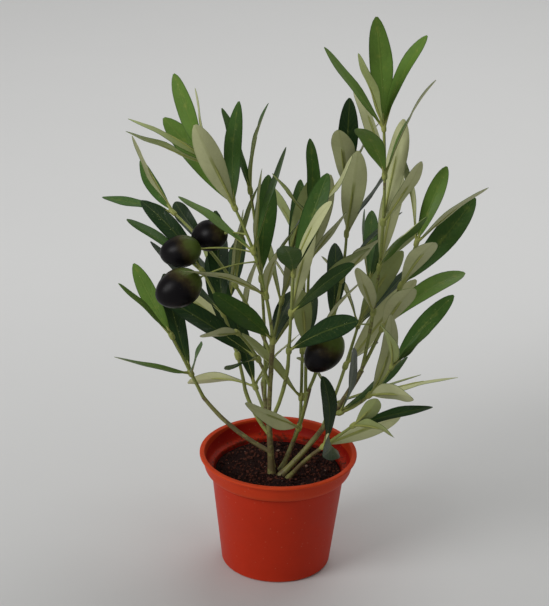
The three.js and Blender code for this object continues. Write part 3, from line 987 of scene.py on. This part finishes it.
def leaf_face(name, colour, settings, roughness, blotch):
    """The upper face of a leaf: smooth printed fabric under a satin film."""
    material, tree, shader = start_material(name)
    mottle = use_group(tree, mottle_group(), Scale=75.0, Amount=0.34)
    veins = use_group(tree, leaf_veins_group(), Count=15.0, Midrib_Width=0.045)
    base = blend(tree, 1.0, rgba(colour), mottle["Shade"], "MULTIPLY")
    blotches = between(clouds(tree, own_place(tree), 210.0, 4.0, 0.65), 0.48, 0.70)
    yellow = times(blotches, times(veins["Middle"], blotch))
    blotched = blend(tree, yellow, base, rgba(settings.vein_colour))
    lines = plus(times(veins["Midrib"], 0.16), times(veins["Veins"], 0.04))
    veined = blend(tree, lines, blotched, rgba(settings.vein_colour))
    rooted = blend(tree, times(veins["Root"], 0.25), veined, rgba(settings.vein_colour))
    dark = blend(tree, 1.0, rooted, (0.40, 0.45, 0.40, 1.0), "MULTIPLY")
    edged = blend(tree, times(veins["Margin"], 0.7), rooted, dark)
    specks = use_group(tree, specks_group(), Scale=980.0, Share=0.20)["Mask"]
    near_middle = plus(times(veins["Middle"], 0.85), 0.15)
    dust = times(specks, near_middle)
    grain = use_group(tree, grain_group(), Scale=900.0)["Height"]
    ridges = plus(times(veins["Veins"], 0.25), times(veins["Midrib"], -1.0))
    uneven = between(mottle["Patches"], 0.3, 0.7, roughness - 0.05, roughness + 0.1)
    set_shader(tree, shader, {
        "Base Color": blend(tree, times(dust, 0.6), edged, rgba(settings.dust_colour)),
        "Roughness": plus(uneven, times(dust, 0.3)),
        "Specular IOR Level": 0.16,
        "Normal": relief(tree, plus(times(grain, 0.35), ridges), 0.35, 0.0003),
    })
    return material


def leaf_back(name, colour, settings):
    """The pale matt underside of a leaf."""
    material, tree, shader = start_material(name)
    mottle = use_group(tree, mottle_group(), Scale=85.0, Amount=0.20)
    veins = use_group(tree, leaf_veins_group(), Count=15.0, Midrib_Width=0.10)
    base = blend(tree, 1.0, rgba(colour), mottle["Shade"], "MULTIPLY")
    rib = times(veins["Midrib"], plus(times(veins["Rib End"], 0.55), 0.15))
    tint = plus(rib, times(veins["Root"], 0.30), clamp=True)
    tinted = blend(tree, tint, base, rgba(settings.rib_colour))
    dark = blend(tree, 1.0, tinted, (0.62, 0.68, 0.55, 1.0), "MULTIPLY")
    shaded = plus(times(veins["Veins"], 0.07), times(veins["Margin"], 0.45))
    grain = use_group(tree, grain_group(), Scale=1300.0)["Height"]
    height = plus(grain, times(veins["Veins"], -0.2))
    set_shader(tree, shader, {
        "Base Color": blend(tree, shaded, tinted, dark),
        "Roughness": 0.62,
        "Specular IOR Level": 0.3,
        "Normal": relief(tree, height, 0.35, 0.0003),
    })
    return material


def olive_skin(settings):
    """Smooth painted skin, green about the stalk and sprayed over to a dark end."""
    material, tree, shader = start_material("olive_skin")
    uv = add_node(tree, "ShaderNodeUVMap", uv_map="UVMap").outputs[0]
    split = add_node(tree, "ShaderNodeSeparateXYZ", {0: uv}).outputs
    mottle = use_group(tree, mottle_group(), Scale=70.0, Amount=0.18)
    ragged = times(minus(mottle["Patches"], 0.5), 0.55)
    tilt = times(maths("SINE", times(split[0], math.tau)), 0.13)
    spread = plus(plus(split[1], ragged), tilt)
    red = between(spread, settings.green_end - 0.18, settings.green_end + 0.12)
    dark = between(spread, settings.green_end - 0.04, settings.green_end + 0.28)
    ripe = blend(tree, red, rgba(settings.green), rgba(settings.turning))
    base = blend(tree, dark, ripe, rgba(settings.ripe))
    shaded = blend(tree, 1.0, base, mottle["Shade"], "MULTIPLY")
    specks = use_group(tree, specks_group(), Scale=760.0, Share=0.10)["Mask"]
    grain = use_group(tree, grain_group(), Scale=260.0)["Height"]
    set_shader(tree, shader, {
        "Base Color": blend(tree, times(specks, 0.10), shaded, rgba(settings.bloom)),
        "Roughness": between(mottle["Patches"], 0.3, 0.7, 0.32, 0.42),
        "Specular IOR Level": 0.12,
        "Normal": relief(tree, grain, 0.08, 0.0004),
    })
    return material


# ---------------------------------------------------------------- settings


class OlivePlantPot(bpy.types.PropertyGroup):
    height: FloatProperty(
        name="Height", description="From the foot to the lip", default=POT_HIGH.z - POT_LOW.z,
        unit="LENGTH", precision=4,
    )
    lip_radius: FloatProperty(
        name="Lip Radius", description="Outer radius of the lip", default=(POT_HIGH.x - POT_LOW.x) / 2,
        unit="LENGTH", precision=4,
    )
    foot_radius: FloatProperty(
        name="Foot Radius", description="Outer radius at the foot",
        default=0.0311, unit="LENGTH", precision=4,
    )
    shoulder_radius: FloatProperty(
        name="Shoulder Radius", description="Outer radius just under the band", default=0.0380,
        unit="LENGTH", precision=4,
    )
    band_radius: FloatProperty(
        name="Band Radius", description="Outer radius of the band under the lip", default=0.0434,
        unit="LENGTH", precision=4,
    )
    band_foot: FloatProperty(
        name="Band Foot", description="Height at which the band starts", default=0.0578,
        unit="LENGTH", precision=4,
    )
    wall: FloatProperty(
        name="Wall", description="Thickness of the plastic", default=0.0013, unit="LENGTH", precision=4,
    )
    colour: FloatVectorProperty(
        name="Plastic", description="Colour of the pot", default=(0.50, 0.028, 0.007),
        subtype="COLOR", min=0, max=1,
    )
    # Painted shade: a darker red for the inside of the same plastic.
    inside_shade_colour: FloatVectorProperty(
        name="Inside", description="Deeper colour of the inside", default=(0.36, 0.010, 0.004),
        subtype="COLOR", min=0, max=1,
    )
    # Paler colour of the rims, partly wear and partly a painted highlight, and of the painted light on
    # the outer band.
    rim_wear_and_light_colour: FloatVectorProperty(
        name="Rim", description="Chalky colour of the thin edges", default=(0.66, 0.075, 0.016),
        subtype="COLOR", min=0, max=1,
    )
    dust_colour: FloatVectorProperty(
        name="Dust", description="Colour of the dust specks", default=(0.62, 0.36, 0.24),
        subtype="COLOR", min=0, max=1,
    )
    soil_colour: FloatVectorProperty(
        name="Soil", description="Colour of the peat that clings to the inside",
        default=(0.060, 0.018, 0.010),
        subtype="COLOR", min=0, max=1,
    )


class OlivePlantFilling(bpy.types.PropertyGroup):
    relief: FloatProperty(
        name="Relief", description="Unevenness of the top", default=0.0015, unit="LENGTH", precision=4,
    )
    crumbs: IntProperty(name="Crumbs", description="Loose crumbs on the top", default=1900, min=0)
    crumb_size: FloatProperty(
        name="Crumb Size", description="Size of the largest crumbs", default=0.0027,
        unit="LENGTH", precision=4,
    )
    colour: FloatVectorProperty(
        name="Earth", description="Colour of the filling", default=(0.017, 0.0065, 0.0055),
        subtype="COLOR", min=0, max=1,
    )
    crumb_colour: FloatVectorProperty(
        name="Crumb", description="Colour of the reddish crumbs", default=(0.085, 0.027, 0.017),
        subtype="COLOR", min=0, max=1,
    )
    fleck_colour: FloatVectorProperty(
        name="Fleck", description="Colour of the pale flecks", default=(0.25, 0.17, 0.13),
        subtype="COLOR", min=0, max=1,
    )


class OlivePlantStems(bpy.types.PropertyGroup):
    ridge: FloatProperty(
        name="Ridge", description="Depth of the bark's ridges",
        default=0.00013, unit="LENGTH", precision=5,
    )
    old_colour: FloatVectorProperty(
        name="Old Bark", description="Colour of the stems that stand in the filling",
        default=(0.215, 0.212, 0.068), subtype="COLOR", min=0, max=1,
    )
    old_patch: FloatVectorProperty(
        name="Old Patches", description="Colour of the brown patches", default=(0.110, 0.076, 0.036),
        subtype="COLOR", min=0, max=1,
    )
    young_colour: FloatVectorProperty(
        name="Young Bark", description="Colour of the shoots", default=(0.250, 0.285, 0.074),
        subtype="COLOR", min=0, max=1,
    )
    young_patch: FloatVectorProperty(
        name="Young Patches", description="Colour of the brownish patches on the shoots",
        default=(0.120, 0.082, 0.042), subtype="COLOR", min=0, max=1,
    )
    sleeve_colour: FloatVectorProperty(
        name="Sleeves", description="Colour of the sleeves that hold the leaves",
        default=(0.340, 0.360, 0.095), subtype="COLOR", min=0, max=1,
    )


class OlivePlantLeaves(bpy.types.PropertyGroup):
    thickness: FloatProperty(
        name="Thickness", description="Of a leaf at its middle",
        default=0.00042, unit="LENGTH", precision=5,
    )
    fold: FloatProperty(
        name="Fold", description="How far both halves of a leaf stand up from flat",
        default=math.radians(11), subtype="ANGLE",
    )
    twist: FloatProperty(
        name="Twist", description="Largest turn of a leaf's tip against its root",
        default=math.radians(26), subtype="ANGLE",
    )
    ripple: FloatProperty(
        name="Ripple", description="Height of the waves along the margins", default=0.0008,
        unit="LENGTH", precision=5,
    )
    dark_colour: FloatVectorProperty(
        name="Dark Leaves", description="Upper face of most leaves", default=(0.013, 0.036, 0.009),
        subtype="COLOR", min=0, max=1,
    )
    middle_colour: FloatVectorProperty(
        name="Middle Leaves", description="Upper face of the lighter leaves",
        default=(0.046, 0.108, 0.018),
        subtype="COLOR", min=0, max=1,
    )
    young_colour: FloatVectorProperty(
        name="Young Leaves", description="Upper face of the leaves at the tips",
        default=(0.112, 0.205, 0.032),
        subtype="COLOR", min=0, max=1,
    )
    vein_colour: FloatVectorProperty(
        name="Veins", description="Midrib and root on the upper face", default=(0.230, 0.280, 0.050),
        subtype="COLOR", min=0, max=1,
    )
    pale_back: FloatVectorProperty(
        name="Pale Backs", description="Underside of most leaves", default=(0.510, 0.525, 0.280),
        subtype="COLOR", min=0, max=1,
    )
    green_back: FloatVectorProperty(
        name="Green Backs", description="Underside of the young leaves", default=(0.310, 0.360, 0.135),
        subtype="COLOR", min=0, max=1,
    )
    rib_colour: FloatVectorProperty(
        name="Ribs", description="Raised rib on the underside", default=(0.245, 0.275, 0.060),
        subtype="COLOR", min=0, max=1,
    )
    dust_colour: FloatVectorProperty(
        name="Dust", description="Colour of the dust specks", default=(0.420, 0.450, 0.200),
        subtype="COLOR", min=0, max=1,
    )


class OlivePlantFruit(bpy.types.PropertyGroup):
    green_end: FloatProperty(
        name="Green End", description="Part of an olive's length that is green",
        default=0.27, min=0, max=1,
    )
    green: FloatVectorProperty(
        name="Green", description="Colour about the stalk", default=(0.090, 0.128, 0.026),
        subtype="COLOR", min=0, max=1,
    )
    turning: FloatVectorProperty(
        name="Turning", description="Colour between green and ripe", default=(0.050, 0.036, 0.014),
        subtype="COLOR", min=0, max=1,
    )
    ripe: FloatVectorProperty(
        name="Ripe", description="Colour of the dark end", default=(0.0045, 0.0036, 0.0046),
        subtype="COLOR", min=0, max=1,
    )
    bloom: FloatVectorProperty(
        name="Dust", description="Colour of the dust specks", default=(0.30, 0.28, 0.26),
        subtype="COLOR", min=0, max=1,
    )


class OlivePlantStage(bpy.types.PropertyGroup):
    floor_colour: FloatVectorProperty(
        name="Floor", description="Colour of the floor", default=(0.632, 0.635, 0.632),
        subtype="COLOR", min=0, max=1,
    )
    key_power: FloatProperty(
        name="Key Light", description="Power of the soft light at the left", default=18.5, min=0,
    )
    back_power: FloatProperty(
        name="Back Light", description="Power of the soft light high up behind", default=11.0, min=0,
    )
    air: FloatProperty(
        name="Room Light", description="Strength of the light from all round", default=0.30, min=0,
    )
    lens: FloatProperty(
        name="Lens", description="Focal length of the camera", default=132.96, unit="CAMERA",
    )
    camera_place: FloatVectorProperty(
        name="Camera", description="Place of the camera",
        default=(0.0, -1.13845, 0.66263), subtype="XYZ",
        unit="LENGTH",
    )
    camera_turn: FloatVectorProperty(
        name="Camera Turn", description="Direction of the camera", subtype="EULER",
        default=tuple(math.radians(angle) for angle in (66.228, -1.389, 0.834)),
    )


# ---------------------------------------------------------------- pieces


BOUGH_NAMES = [bough["name"] for bough in BOUGHS]
SPRAY_NAMES = [spray["name"] for spray in SPRAYS]


class OLIVEPLANT_OT_pot(bpy.types.Operator):
    """Turns the pot: a thin tapering wall with a band and a lip"""

    bl_idname = "olive_plant.pot"
    bl_label = "Pot"

    def execute(self, context):
        pot = context.scene.olive_plant_pot
        bm = new_bmesh()
        inner_band = pot.band_radius - pot.wall
        ledge = pot.band_foot + pot.wall
        lip_foot = pot.height - LIP_DROP
        slope = (pot.shoulder_radius - pot.foot_radius) / pot.band_foot
        inner_foot = pot.foot_radius - pot.wall + slope * POT_FLOOR
        inner_shoulder = pot.shoulder_radius - pot.wall
        recess = pot.foot_radius - FOOT_RING
        band_turn = pot.band_radius - BAND_LEAN
        # Each corner of the wall's section: its radius and height, and then how far its edge is
        # rounded off and by how many faces.
        corners = [
            (0.0, FOOT_RECESS, 0.0, 0),
            (recess, FOOT_RECESS, 0.0, 0),
            (recess + FOOT_RECESS, 0.0, 0.0, 0),
            (pot.foot_radius, 0.0, 0.0017, 5),
            (pot.shoulder_radius, pot.band_foot, 0.0006, 3),
            (pot.shoulder_radius + BAND_STEP, pot.band_foot, 0.0007, 4),
            (band_turn - BAND_TUCK, pot.band_foot + LIP_DROP, 0.0012, 5),
            (band_turn, pot.band_foot + BAND_TURN, 0.0016, 4),
            (pot.band_radius, lip_foot, 0.0007, 3),
            (pot.lip_radius, lip_foot, 0.0004, 3),
            (pot.lip_radius, pot.height, 0.0005, 4),
            (inner_band, pot.height, 0.0005, 4),
            (inner_band - BAND_LEAN, ledge + BAND_TURN, 0.0020, 4),
            (inner_band - LEDGE_ROUND, ledge + LEDGE_RISE, 0.0009, 4),
            (inner_shoulder, ledge, 0.0006, 3),
            (inner_foot, POT_FLOOR, 0.0, 0),
            (0.0, POT_FLOOR, 0.0, 0),
        ]
        spun(bm, [corner[:2] for corner in corners], POT_STEPS)
        for radius, height, size, segments in corners:
            if segments:
                round_ring(bm, radius, height, size, segments)
        for vert in bm.verts:
            upper = max(0.0, vert.co.z / pot.height)
            around = math.atan2(vert.co.y, vert.co.x)
            sway = 1 + POT_SWAY * upper * math.sin(2 * around + POT_SWAY_TURN)
            vert.co.x *= sway
            vert.co.y *= sway
        bmesh.ops.recalc_face_normals(bm, faces=bm.faces)
        finish_piece("pot_shell", bm, [pot_plastic(pot)], ["pot"])
        return {"FINISHED"}


class OLIVEPLANT_OT_filling(bpy.types.Operator):
    """Fills the pot with crumbly dark peat"""

    bl_idname = "olive_plant.filling"
    bl_label = "Filling"

    def execute(self, context):
        look = context.scene.olive_plant_filling
        self.bed(look)
        self.crumbs(look)
        return {"FINISHED"}

    def bed(self, look):
        bm = new_bmesh()
        rim = SOIL_RADIUS * MM
        rows = [(rim * i / BED_RINGS, SOIL_HIGH.z) for i in range(BED_RINGS + 1)]
        foot = SOIL_HIGH.z - BED_DEPTH
        spun(bm, rows + [(rim - BED_TAPER, foot), (0.0, foot)], BED_STEPS)
        for vert in bm.verts:
            if vert.co.z > SOIL_HIGH.z - MM:
                vert.co.z += self.lift(look, vert.co)
        bmesh.ops.recalc_face_normals(bm, faces=bm.faces)
        finish_piece("filling_bed", bm, [filling_earth(look)], ["soil"])

    def lift(self, look, point):
        """How high the filling's top stands at a point: rough, and a little heaped at the stems."""
        rough = sum(share * noise.noise(point * scale) for share, scale in BED_ROUGHNESS)
        heap = HEAP_HEIGHT * math.exp(-((point.xy.length / HEAP_RADIUS) ** 2))
        edge = min(1.0, max(0.0, (SOIL_RADIUS * MM - point.xy.length) / BED_EDGE))
        return look.relief * rough * (EDGE_RELIEF + (1 - EDGE_RELIEF) * edge) + heap

    def crumbs(self, look):
        bm = new_bmesh()
        for i in range(look.crumbs):
            draw = partial(chance, i + 1)
            reach = (SOIL_RADIUS * MM - CRUMB_MARGIN) * math.sqrt(abs(draw(1)))
            turn = math.pi * draw(2)
            large = abs(draw(3)) ** CRUMB_RARITY
            size = look.crumb_size * (CRUMB_SMALLEST + (1 - CRUMB_SMALLEST) * large)
            point = Vector((reach * math.cos(turn), reach * math.sin(turn), SOIL_HIGH.z))
            point.z += self.lift(look, point) + size * CRUMB_RISE
            axis = Vector((draw(5), draw(6), 0.4)).normalized()
            half = size / 2
            width = half * (0.55 + 0.3 * abs(draw(7)))
            shape = Matrix.Translation(point)
            shape @= Matrix.Rotation(math.pi * draw(4), 4, axis)
            shape @= Matrix.Diagonal((half, width, half * CRUMB_HEIGHT, 1.0))
            made = bmesh.ops.create_icosphere(bm, subdivisions=1, radius=1.0, matrix=shape)
            kind = 2 if draw(8) > FLECK_SHARE else (1 if draw(9) > RED_SHARE else 0)
            for face in {face for vert in made["verts"] for face in vert.link_faces}:
                face.material_index = kind
        materials = [
            crumb_earth("crumb_dark", look.colour), crumb_earth("crumb_red", look.crumb_colour),
            crumb_earth("crumb_fleck", look.fleck_colour, 0.6),
        ]
        finish_piece("filling_crumbs", bm, materials, [])


class OLIVEPLANT_OT_stems(bpy.types.Operator):
    """Grows the bare boughs and the sprays' shoots, with the bark's relief"""

    bl_idname = "olive_plant.stems"
    bl_label = "Stems"

    def execute(self, context):
        look = context.scene.olive_plant_stems
        barks = [
            stem_plastic("bark_old", look.old_colour, look.old_patch, OLD_PATCHES),
            stem_plastic("bark_young", look.young_colour, look.young_patch, YOUNG_PATCHES),
        ]
        boughs = self.bars(BOUGHS, look.ridge, STEM_SIDES)
        finish_piece("bark_of_boughs", boughs, barks, BOUGH_NAMES)
        shoots = self.bars(SPRAYS, look.ridge * SHOOT_RIDGE, SHOOT_SIDES)
        finish_piece("bark_of_shoots", shoots, barks, SPRAY_NAMES)
        return {"FINISHED"}

    def bars(self, stems, ridge, sides):
        bm = new_bmesh()
        for number, stem in enumerate(stems):
            start = -(ROOT_SINK if "foot" in stem else FORK_SINK) / stem["length"]

            def radius(t, turn, stem=stem, number=number):
                along = t * stem["length"]
                x, y = math.cos(turn), math.sin(turn)
                bark = noise.noise(Vector((x * 1.7, y * 1.7, along * 0.16 + number * 9.1)))
                knots = noise.noise(Vector((x * 0.7, along * 0.55, number * 5.3)))
                furrow = math.sin(turn * 4 + along * 0.12 + number)
                return girth_at(stem, t) + ridge / MM * (1.1 * bark + 0.6 * knots + 0.45 * furrow)

            rings = max(6, round(stem["length"] / RING_STEP))
            round_bar(bm, ARCS[stem["name"]], radius, rings, sides, start, 1.0, self.age(stem))
        bmesh.ops.recalc_face_normals(bm, faces=bm.faces)
        return bm

    def age(self, stem):
        """The slot of a stem's bark: the old bark is on the stems nearest to the filling."""
        return 0 if "foot" in stem or stem["name"] in ("bough_left", "bough_centre_left") else 1


class OLIVEPLANT_OT_leaves(bpy.types.Operator):
    """Sets the leaves on the shoots in whorls, each a folded and twisted blade"""

    bl_idname = "olive_plant.leaves"
    bl_label = "Leaves"

    def execute(self, context):
        look = context.scene.olive_plant_leaves
        bm = new_bmesh()
        for spray in SPRAYS:
            for leaf in LEAVES[spray["name"]]:
                self.blade(bm, leaf, look)
        materials = [
            leaf_face("leaf_dark", look.dark_colour, look, 0.36, 0.05),
            leaf_face("leaf_middle", look.middle_colour, look, 0.40, 0.35),
            leaf_face("leaf_young", look.young_colour, look, 0.44, 0.60),
            leaf_back("leaf_back_pale", look.pale_back, look),
            leaf_back("leaf_back_green", look.green_back, look),
        ]
        finish_piece("leaves", bm, materials, SPRAY_NAMES)
        return {"FINISHED"}

    def tones(self, leaf):
        """The slots of a leaf's upper face and underside."""
        upper = 0 if leaf["shade"] < DARK_BELOW else (1 if leaf["shade"] < MIDDLE_BELOW else 2)
        return upper, 4 if leaf["green_back"] else 3

    def blade(self, bm, leaf, look):
        draw = leaf["draw"]
        upper, under = self.tones(leaf)
        fold = math.tan(look.fold * (0.75 + 0.75 * draw(9.5)))
        twist = look.twist * draw(10.5)
        waves = look.ripple / MM * (0.6 + 0.4 * draw(11.5))
        phase = math.pi * draw(12.5)
        sway = 0.9 * draw(13.5)
        flick = 2.0 * draw(15.5)
        thick = look.thickness / MM

        def place(t, u, below):
            across, up = leaf_frame(leaf, t, twist * t)
            outline = max(BLADE_FOOT, leaf_outline(t) ** BLADE_FULLNESS)
            half = outline * leaf["width"] / 2
            body = math.sin(math.pi * min(1.0, max(0.0, t)))
            rise = fold * half * abs(u) ** FOLD_CURVE * (FOLD_AT_ENDS + (1 - FOLD_AT_ENDS) * body)
            lag = MARGIN_LAG if u > 0 else 0.0
            rise += waves * body * u * u * math.sin(t * MARGIN_WAVES + phase + lag)
            rise -= GROOVE_DEPTH * math.exp(-((u / GROOVE_WIDTH) ** 2)) * body
            rise += flick * max(0.0, t - FLICK_START) ** 2 / FLICK_REACH
            aside = u * half + sway * math.sin(math.pi * t)
            depth = thick * (1.25 - 0.65 * t) * (1 - 0.45 * u * u)
            return (leaf["midrib"].at(t) + across * aside + up * (rise - below * depth)) * MM

        faces = shape_sheet(bm, BLADE_ROWS, BLADE_COLUMNS, 0.1)
        for face in faces:
            centre = face.calc_center_median()
            face.material_index = under if centre.z < -0.09 else upper
            rim = -0.09 < centre.z < -0.01
            for edge in face.edges:
                if rim and edge.verts[0].co.z == edge.verts[1].co.z:
                    edge.smooth = False
        for vert in {vert for face in faces for vert in face.verts}:
            s, u = vert.co.x + 0.5, vert.co.y * 2
            t = s - BLADE_CROWDING * math.sin(math.tau * s)
            vert.co = place(t, math.copysign(abs(u) ** 1.2, u), vert.co.z < -0.05)


class OLIVEPLANT_OT_sleeves(bpy.types.Operator):
    """Puts a sleeve on the shoot at each whorl, and a stalk and a raised rib under each leaf"""

    bl_idname = "olive_plant.sleeves"
    bl_label = "Sleeves and Ribs"

    def execute(self, context):
        look = context.scene.olive_plant_stems
        bm = new_bmesh()
        for spray in SPRAYS:
            for place in sorted({leaf["place"] for leaf in LEAVES[spray["name"]]}):
                self.sleeve(bm, spray, place)
            for leaf in LEAVES[spray["name"]]:
                self.rib(bm, leaf)
        bmesh.ops.recalc_face_normals(bm, faces=bm.faces)
        sleeve = stem_plastic("sleeve_green", look.sleeve_colour, look.young_colour, SLEEVE_PATCHES)
        rib = stem_plastic("rib_green", look.sleeve_colour, look.young_colour, RIB_PATCHES)
        finish_piece("sleeves_and_ribs", bm, [sleeve, rib], SPRAY_NAMES)
        return {"FINISHED"}

    def sleeve(self, bm, spray, place):
        """A knobbly sleeve round the shoot, which closes over the shoot's tip at the last whorl."""
        half = SLEEVE_LENGTH / 2 / spray["length"]
        seed = seed_of(spray) + place * 10

        def radius(t, turn):
            near = (t - place) / half
            swell = max(0.0, 1 - abs(near) ** 3.2) ** 0.5
            knob = 0.14 * math.sin(2 * turn + seed) + 0.10 * math.sin(3 * turn + near * 2 + seed * 3)
            return 0.15 + swell * (girth_at(spray, min(1.0, t)) + SLEEVE_WALL * (1 + knob))

        arc = ARCS[spray["name"]]
        round_bar(bm, arc, radius, SLEEVE_RINGS, SLEEVE_SIDES, place - half, place + half)

    def rib(self, bm, leaf):
        """The stalk in the sleeve, which runs on as a rib under the leaf and ends bluntly."""
        midrib = leaf["midrib"]
        end = RIB_END + RIB_END_SCATTER * leaf["draw"](14.5)

        def place(part, turn):
            t = end * part**1.25
            across, up = leaf_frame(leaf, t)
            stalk = max(0.0, 1 - t / (2.2 * PETIOLE))
            wide = (0.46 + 0.34 * (1 - part) + 0.30 * stalk) * min(1.0, 0.35 + (1 - part) * 6)
            high = wide * (0.75 + 0.25 * stalk)
            sink = (1 - stalk) * RIB_SINK
            aside = across * math.cos(turn) * wide
            return (midrib.at(t) + aside + up * (math.sin(turn) * high - sink)) * MM

        bend_tube(bm, place, RIB_RINGS, RIB_SIDES, 1)


class OLIVEPLANT_OT_olives(bpy.types.Operator):
    """Hangs the olives on their thin stalks"""

    bl_idname = "olive_plant.olives"
    bl_label = "Olives"

    def execute(self, context):
        look = context.scene.olive_plant_fruit
        stems = context.scene.olive_plant_stems
        bm = new_bmesh()
        for olive, ripeness in zip(OLIVES, RIPENESS):
            self.fruit(bm, olive, ripeness)
            self.stalk(bm, olive)
        bmesh.ops.recalc_face_normals(bm, faces=bm.faces)
        stalk = stem_plastic("olive_stalk", stems.sleeve_colour, stems.young_colour, STALK_PATCHES)
        nodes = sorted({olive["spray"] for olive in OLIVES})
        finish_piece("olives", bm, [olive_skin(look), stalk], nodes)
        return {"FINISHED"}

    def fruit(self, bm, olive, ripeness):
        """An olive: plumper at its stalk than at its end, and not quite round."""
        arc = stalk_arc(olive, ARCS)
        made = bmesh.ops.create_uvsphere(bm, u_segments=OLIVE_SIDES, v_segments=OLIVE_RINGS, radius=0.5)
        faces = {face for vert in made["verts"] for face in vert.link_faces}
        map_round(bm, faces)
        uv = bm.loops.layers.uv.active
        for face in faces:
            face.smooth = True
            for loop in face.loops:
                loop[uv].uv.y += ripeness
        for vert in made["verts"]:
            x, z, t = vert.co.x, vert.co.y, vert.co.z + 0.5
            turn = math.atan2(z, x)
            egg = OLIVE_PLUMPNESS * (math.sin(math.pi * t) + math.cos(math.pi * t))
            plump = 1 + egg + OLIVE_UNEVENNESS * math.sin(2 * turn)
            vert.co = olive_point(olive, arc, x * plump, t, z * plump) * MM

    def stalk(self, bm, olive):
        arc = stalk_arc(olive, ARCS)

        def radius(t, turn):
            cup = 0.9 * math.exp(-((max(0.0, 1 - t) * olive["stalk"] / 1.1) ** 2))
            root = 0.35 * math.exp(-t * olive["stalk"] / 1.5)
            return STALK_RADIUS * 0.75 + cup + root + 0.04 * math.sin(turn * 2 + t * 9)

        end = 1 + STALK_CUP / olive["stalk"]
        round_bar(bm, arc, radius, STALK_RINGS, STALK_SIDES, 0.0, end, 1)


class OLIVEPLANT_OT_stage(bpy.types.Operator):
    """Sets up the floor, the lights and the camera"""

    bl_idname = "olive_plant.stage"
    bl_label = "Stage"

    def execute(self, context):
        look = context.scene.olive_plant_stage
        self.floor(look)
        self.room(context, look)
        self.light("Key Light", (-1.35, -0.95, 1.15), (0.0, 0.0, 0.15), 1.0, look.key_power)
        self.light("Back Light", (0.35, 0.85, 1.45), (0.0, 0.1, 0.0), 1.3, look.back_power)
        context.scene.view_settings.view_transform = "Standard"
        camera = bpy.data.objects.new("Camera", bpy.data.cameras.new("Camera"))
        camera.data.lens = look.lens
        camera.location = look.camera_place
        camera.rotation_euler = look.camera_turn
        context.scene.collection.objects.link(camera)
        context.scene.camera = camera
        return {"FINISHED"}

    def floor(self, look):
        bm = new_bmesh()
        bmesh.ops.create_grid(bm, x_segments=1, y_segments=1, size=FLOOR_SIZE / 2)
        mesh = bpy.data.meshes.new("floor")
        bm.to_mesh(mesh)
        bm.free()
        material, tree, shader = start_material("floor_paper")
        mottle = use_group(tree, mottle_group(), Scale=3.0, Amount=0.02)
        away = add_node(tree, "ShaderNodeSeparateXYZ", {0: own_place(tree)}).outputs[1]
        # Painted light and shade: the floor's colour darkens towards the front and brightens towards the
        # back, standing in for the falloff of the lights.
        painted_falloff = between(away, -0.30, 0.50, 0.84, 1.16)
        set_shader(tree, shader, {
            "Base Color": blend(
                tree, 1.0, rgba(look.floor_colour), times(mottle["Shade"], painted_falloff), "MULTIPLY",
            ),
            "Roughness": 0.6, "Specular IOR Level": 0.25,
        })
        mesh.materials.append(material)
        floor = bpy.data.objects.new("floor", mesh)
        bpy.context.scene.collection.objects.link(floor)

    def room(self, context, look):
        world = bpy.data.worlds.new("Room")
        world.use_nodes = True
        background = world.node_tree.nodes["Background"]
        background.inputs["Color"].default_value = (1.0, 0.99, 0.97, 1.0)
        background.inputs["Strength"].default_value = look.air
        context.scene.world = world

    def light(self, name, place, target, size, power):
        lamp = bpy.data.lights.new(name, "AREA")
        lamp.shape = "DISK"
        lamp.size = size
        lamp.energy = power
        light = bpy.data.objects.new(name, lamp)
        light.location = place
        light.rotation_euler = (Vector(place) - Vector(target)).to_track_quat("Z", "Y").to_euler()
        bpy.context.scene.collection.objects.link(light)


OPERATORS = [
    OLIVEPLANT_OT_pot, OLIVEPLANT_OT_filling, OLIVEPLANT_OT_stems, OLIVEPLANT_OT_leaves,
    OLIVEPLANT_OT_sleeves, OLIVEPLANT_OT_olives, OLIVEPLANT_OT_stage,
]
SETTINGS = {
    "olive_plant_pot": OlivePlantPot,
    "olive_plant_filling": OlivePlantFilling,
    "olive_plant_stems": OlivePlantStems,
    "olive_plant_leaves": OlivePlantLeaves,
    "olive_plant_fruit": OlivePlantFruit,
    "olive_plant_stage": OlivePlantStage,
}


class OLIVEPLANT_PT_pieces(bpy.types.Panel):
    """Lists the plant's pieces and their settings"""

    bl_label = "Olive Plant"
    bl_idname = "OLIVEPLANT_PT_pieces"
    bl_space_type = "VIEW_3D"
    bl_region_type = "UI"
    bl_category = "Olive Plant"

    def draw(self, context):
        for operator in OPERATORS:
            self.layout.operator(operator.bl_idname)
        for label in SETTINGS:
            settings = getattr(context.scene, label)
            box = self.layout.box()
            for name in settings.bl_rna.properties.keys():
                if name not in ("rna_type", "name"):
                    box.prop(settings, name)


def register():
    for kind in [*SETTINGS.values(), *OPERATORS, OLIVEPLANT_PT_pieces]:
        bpy.utils.register_class(kind)
    for label, kind in SETTINGS.items():
        setattr(bpy.types.Scene, label, PointerProperty(type=kind))


def unregister():
    for label in SETTINGS:
        delattr(bpy.types.Scene, label)
    for kind in [OLIVEPLANT_PT_pieces, *OPERATORS, *SETTINGS.values()]:
        bpy.utils.unregister_class(kind)


def main():
    register()
    bpy.ops.olive_plant.pot()
    bpy.ops.olive_plant.filling()
    bpy.ops.olive_plant.stems()
    bpy.ops.olive_plant.leaves()
    bpy.ops.olive_plant.sleeves()
    bpy.ops.olive_plant.olives()
    bpy.ops.olive_plant.stage()


if __name__ == "__main__":
    main()
